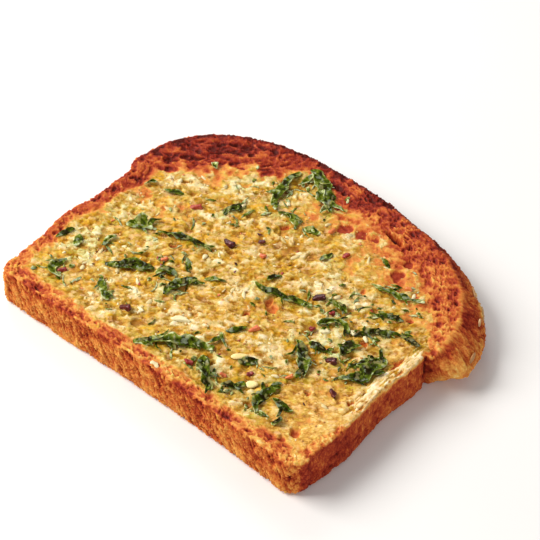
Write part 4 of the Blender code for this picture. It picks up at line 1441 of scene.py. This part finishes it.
def add_stage(settings):
    begin_piece()
    bpy.ops.mesh.primitive_plane_add(size=FLOOR_SIZE)
    floor = bpy.context.object
    floor.name = "floor"
    floor.location.z = -FLOOR_DROP
    floor.data.materials.append(floor_material(tuple(settings.floor_colour)))

    world = bpy.data.worlds.new("soft_room")
    bpy.context.scene.world = world
    world.use_nodes = True
    background = world.node_tree.nodes["Background"]
    background.inputs["Color"].default_value = (*settings.room_colour, 1)
    background.inputs["Strength"].default_value = settings.room_light

    aim = Vector(to_part((settings.aim_x / MM, settings.aim_y / MM, -THICKNESS / 2)))
    key, power = settings.key_heading, settings.key_power
    for name, heading, rise, size, energy in (
        ("key", key, settings.key_rise, 0.55, power),
        ("rim", key - radians(70), 0.6, 0.4, power * 0.2),
        ("fill", key + radians(125), 0.35, 0.5, power * 0.16),
    ):
        lamp = bpy.data.lights.new(name, "AREA")
        lamp.size, lamp.energy, lamp.color = size, energy, LAMP_COLOUR
        light = link(bpy.data.objects.new(name, lamp))
        away = Vector((cos(heading) * cos(rise), sin(heading) * cos(rise), sin(rise)))
        light.location = aim + away * LAMP_DISTANCE
        light.rotation_euler = away.to_track_quat("Z", "Y").to_euler()
    aim_camera(settings, aim)
    bpy.context.scene.view_settings.view_transform = "Standard"


# ---------------------------------------------------------------- settings

LENGTH = {"subtype": "DISTANCE", "unit": "LENGTH"}
ANGLE = {"subtype": "ANGLE", "unit": "ROTATION"}
COLOUR = {"min": 0, "max": 1, "subtype": "COLOR"}


class SliceSettings(bpy.types.PropertyGroup):
    """Mesh sizes of the bread"""

    cell: FloatProperty(
        name="Cell", description="Size of the bread's mesh cells", default=0.36 * MM,
        min=0.3 * MM, **LENGTH
    )
    underside_share: FloatProperty(
        name="Faces kept", description="Share of all faces left once the underside is thinned",
        default=0.64, min=0.1, max=1, subtype="FACTOR"
    )
    most_faces: IntProperty(
        name="Most faces", description="Faces that the finished slice may have",
        default=195000, min=1000
    )


class ToppingSettings(bpy.types.PropertyGroup):
    """Amounts and colours of the toppings"""

    herb_colour: FloatVectorProperty(
        name="Herb", description="Colour of the wilted leaves", default=(0.042, 0.06, 0.0015),
        **COLOUR
    )
    fleck_count: IntProperty(
        name="Herb flecks", description="Number of tiny herb flecks", default=340, min=0
    )
    speck_count: IntProperty(
        name="Chilli specks", description="Number of small chilli specks", default=45, min=0
    )
    garlic_count: IntProperty(
        name="Garlic granules", description="Number of small garlic granules", default=140, min=0
    )
    garlic_lumps: IntProperty(
        name="Garlic lumps", description="Number of larger garlic lumps", default=80, min=0
    )
    crumb_count: IntProperty(
        name="Crumbs", description="Number of loose toast crumbs", default=500, min=0
    )


class StageSettings(bpy.types.PropertyGroup):
    """Camera, light and floor"""

    view_azimuth: FloatProperty(
        name="Azimuth", description="Camera's turn from straight ahead",
        default=radians(38.49), **ANGLE
    )
    view_elevation: FloatProperty(
        name="Elevation", description="Camera's rise above the floor",
        default=radians(46.86), **ANGLE
    )
    view_roll: FloatProperty(
        name="Roll", description="Camera's tilt about its own axis",
        default=radians(2.85), **ANGLE
    )
    distance: FloatProperty(
        name="Distance", description="Camera's distance from its aim", default=0.636, **LENGTH
    )
    lens: FloatProperty(
        name="Lens", description="Focal length in millimetres", default=139.4, min=10
    )
    aim_x: FloatProperty(
        name="Aim across", description="Aim point along the base edge, from its middle",
        default=-1.07 * MM, **LENGTH
    )
    aim_y: FloatProperty(
        name="Aim along", description="Aim point's distance from the base edge",
        default=57.5 * MM, **LENGTH
    )
    key_heading: FloatProperty(
        name="Key heading", description="Direction the main light comes from",
        default=radians(212), **ANGLE
    )
    key_rise: FloatProperty(
        name="Key rise", description="Height of the main light above the floor",
        default=radians(42), **ANGLE
    )
    key_power: FloatProperty(
        name="Key power", description="Power of the main light in watts", default=10.5, min=0
    )
    room_light: FloatProperty(
        name="Room light", description="Strength of the light from all round", default=0.36,
        min=0
    )
    room_colour: FloatVectorProperty(
        name="Room", description="Colour of the light from all round",
        default=(1, 0.985, 0.97), **COLOUR
    )
    floor_colour: FloatVectorProperty(
        name="Floor", description="Colour of the floor", default=(0.87, 0.855, 0.84), **COLOUR
    )


# ---------------------------------------------------------------- operators

DONE = {"FINISHED"}


class TOAST_OT_slice(bpy.types.Operator):
    """Models the slice of toasted bread"""

    bl_idname = "toast.slice"
    bl_label = "Bread slice"

    def execute(self, context):
        make_slice(context.scene.toast_slice)
        return DONE


class TOAST_OT_leaves(bpy.types.Operator):
    """Lays the wilted herb leaves on the crumb"""

    bl_idname = "toast.leaves"
    bl_label = "Herb leaves"

    def execute(self, context):
        make_leaves(context.scene.toast_topping)
        return DONE


class TOAST_OT_scraps(bpy.types.Operator):
    """Scatters the scraps and flecks of herb"""

    bl_idname = "toast.scraps"
    bl_label = "Herb scraps"

    def execute(self, context):
        make_scraps(context.scene.toast_topping)
        return DONE


class TOAST_OT_chilli(bpy.types.Operator):
    """Lays the chilli flakes"""

    bl_idname = "toast.chilli"
    bl_label = "Chilli flakes"

    def execute(self, context):
        make_chilli(context.scene.toast_topping)
        return DONE


class TOAST_OT_seeds(bpy.types.Operator):
    """Lays the chilli seeds"""

    bl_idname = "toast.seeds"
    bl_label = "Chilli seeds"

    def execute(self, context):
        make_seeds()
        return DONE


class TOAST_OT_garlic(bpy.types.Operator):
    """Scatters the minced garlic"""

    bl_idname = "toast.garlic"
    bl_label = "Garlic granules"

    def execute(self, context):
        make_garlic(context.scene.toast_topping)
        return DONE


class TOAST_OT_crumbs(bpy.types.Operator):
    """Scatters loose toast crumbs"""

    bl_idname = "toast.crumbs"
    bl_label = "Toast crumbs"

    def execute(self, context):
        make_crumbs(context.scene.toast_topping)
        return DONE


class TOAST_OT_oats(bpy.types.Operator):
    """Presses the oat flakes into the shoulder's crust"""

    bl_idname = "toast.oats"
    bl_label = "Oat flakes"

    def execute(self, context):
        make_oats()
        return DONE


class TOAST_OT_stage(bpy.types.Operator):
    """Adds the floor, the light and the camera"""

    bl_idname = "toast.stage"
    bl_label = "Stage"

    def execute(self, context):
        add_stage(context.scene.toast_stage)
        return DONE


OPERATORS = (
    TOAST_OT_slice, TOAST_OT_leaves, TOAST_OT_scraps, TOAST_OT_chilli, TOAST_OT_seeds,
    TOAST_OT_garlic, TOAST_OT_crumbs, TOAST_OT_oats, TOAST_OT_stage,
)
SETTINGS = (
    ("toast_slice", SliceSettings),
    ("toast_topping", ToppingSettings),
    ("toast_stage", StageSettings),
)


class TOAST_PT_panel(bpy.types.Panel):
    """Lists the toast's pieces and settings"""

    bl_idname = "TOAST_PT_panel"
    bl_label = "Garlic toast"
    bl_space_type = "VIEW_3D"
    bl_region_type = "UI"
    bl_category = "Garlic toast"

    def draw(self, context):
        for operator in OPERATORS:
            self.layout.operator(operator.bl_idname)
        for name, group in SETTINGS:
            box = self.layout.box()
            for setting in group.__annotations__:
                box.prop(getattr(context.scene, name), setting)


def register():
    for name, group in SETTINGS:
        bpy.utils.register_class(group)
        setattr(bpy.types.Scene, name, PointerProperty(type=group))
    for item in (*OPERATORS, TOAST_PT_panel):
        bpy.utils.register_class(item)


def unregister():
    for item in (TOAST_PT_panel, *reversed(OPERATORS)):
        bpy.utils.unregister_class(item)
    for name, group in reversed(SETTINGS):
        delattr(bpy.types.Scene, name)
        bpy.utils.unregister_class(group)


def main():
    register()
    bpy.ops.toast.slice()
    bpy.ops.toast.leaves()
    bpy.ops.toast.scraps()
    bpy.ops.toast.chilli()
    bpy.ops.toast.seeds()
    bpy.ops.toast.garlic()
    bpy.ops.toast.crumbs()
    bpy.ops.toast.oats()
    bpy.ops.toast.stage()


if __name__ == "__main__":
    main()
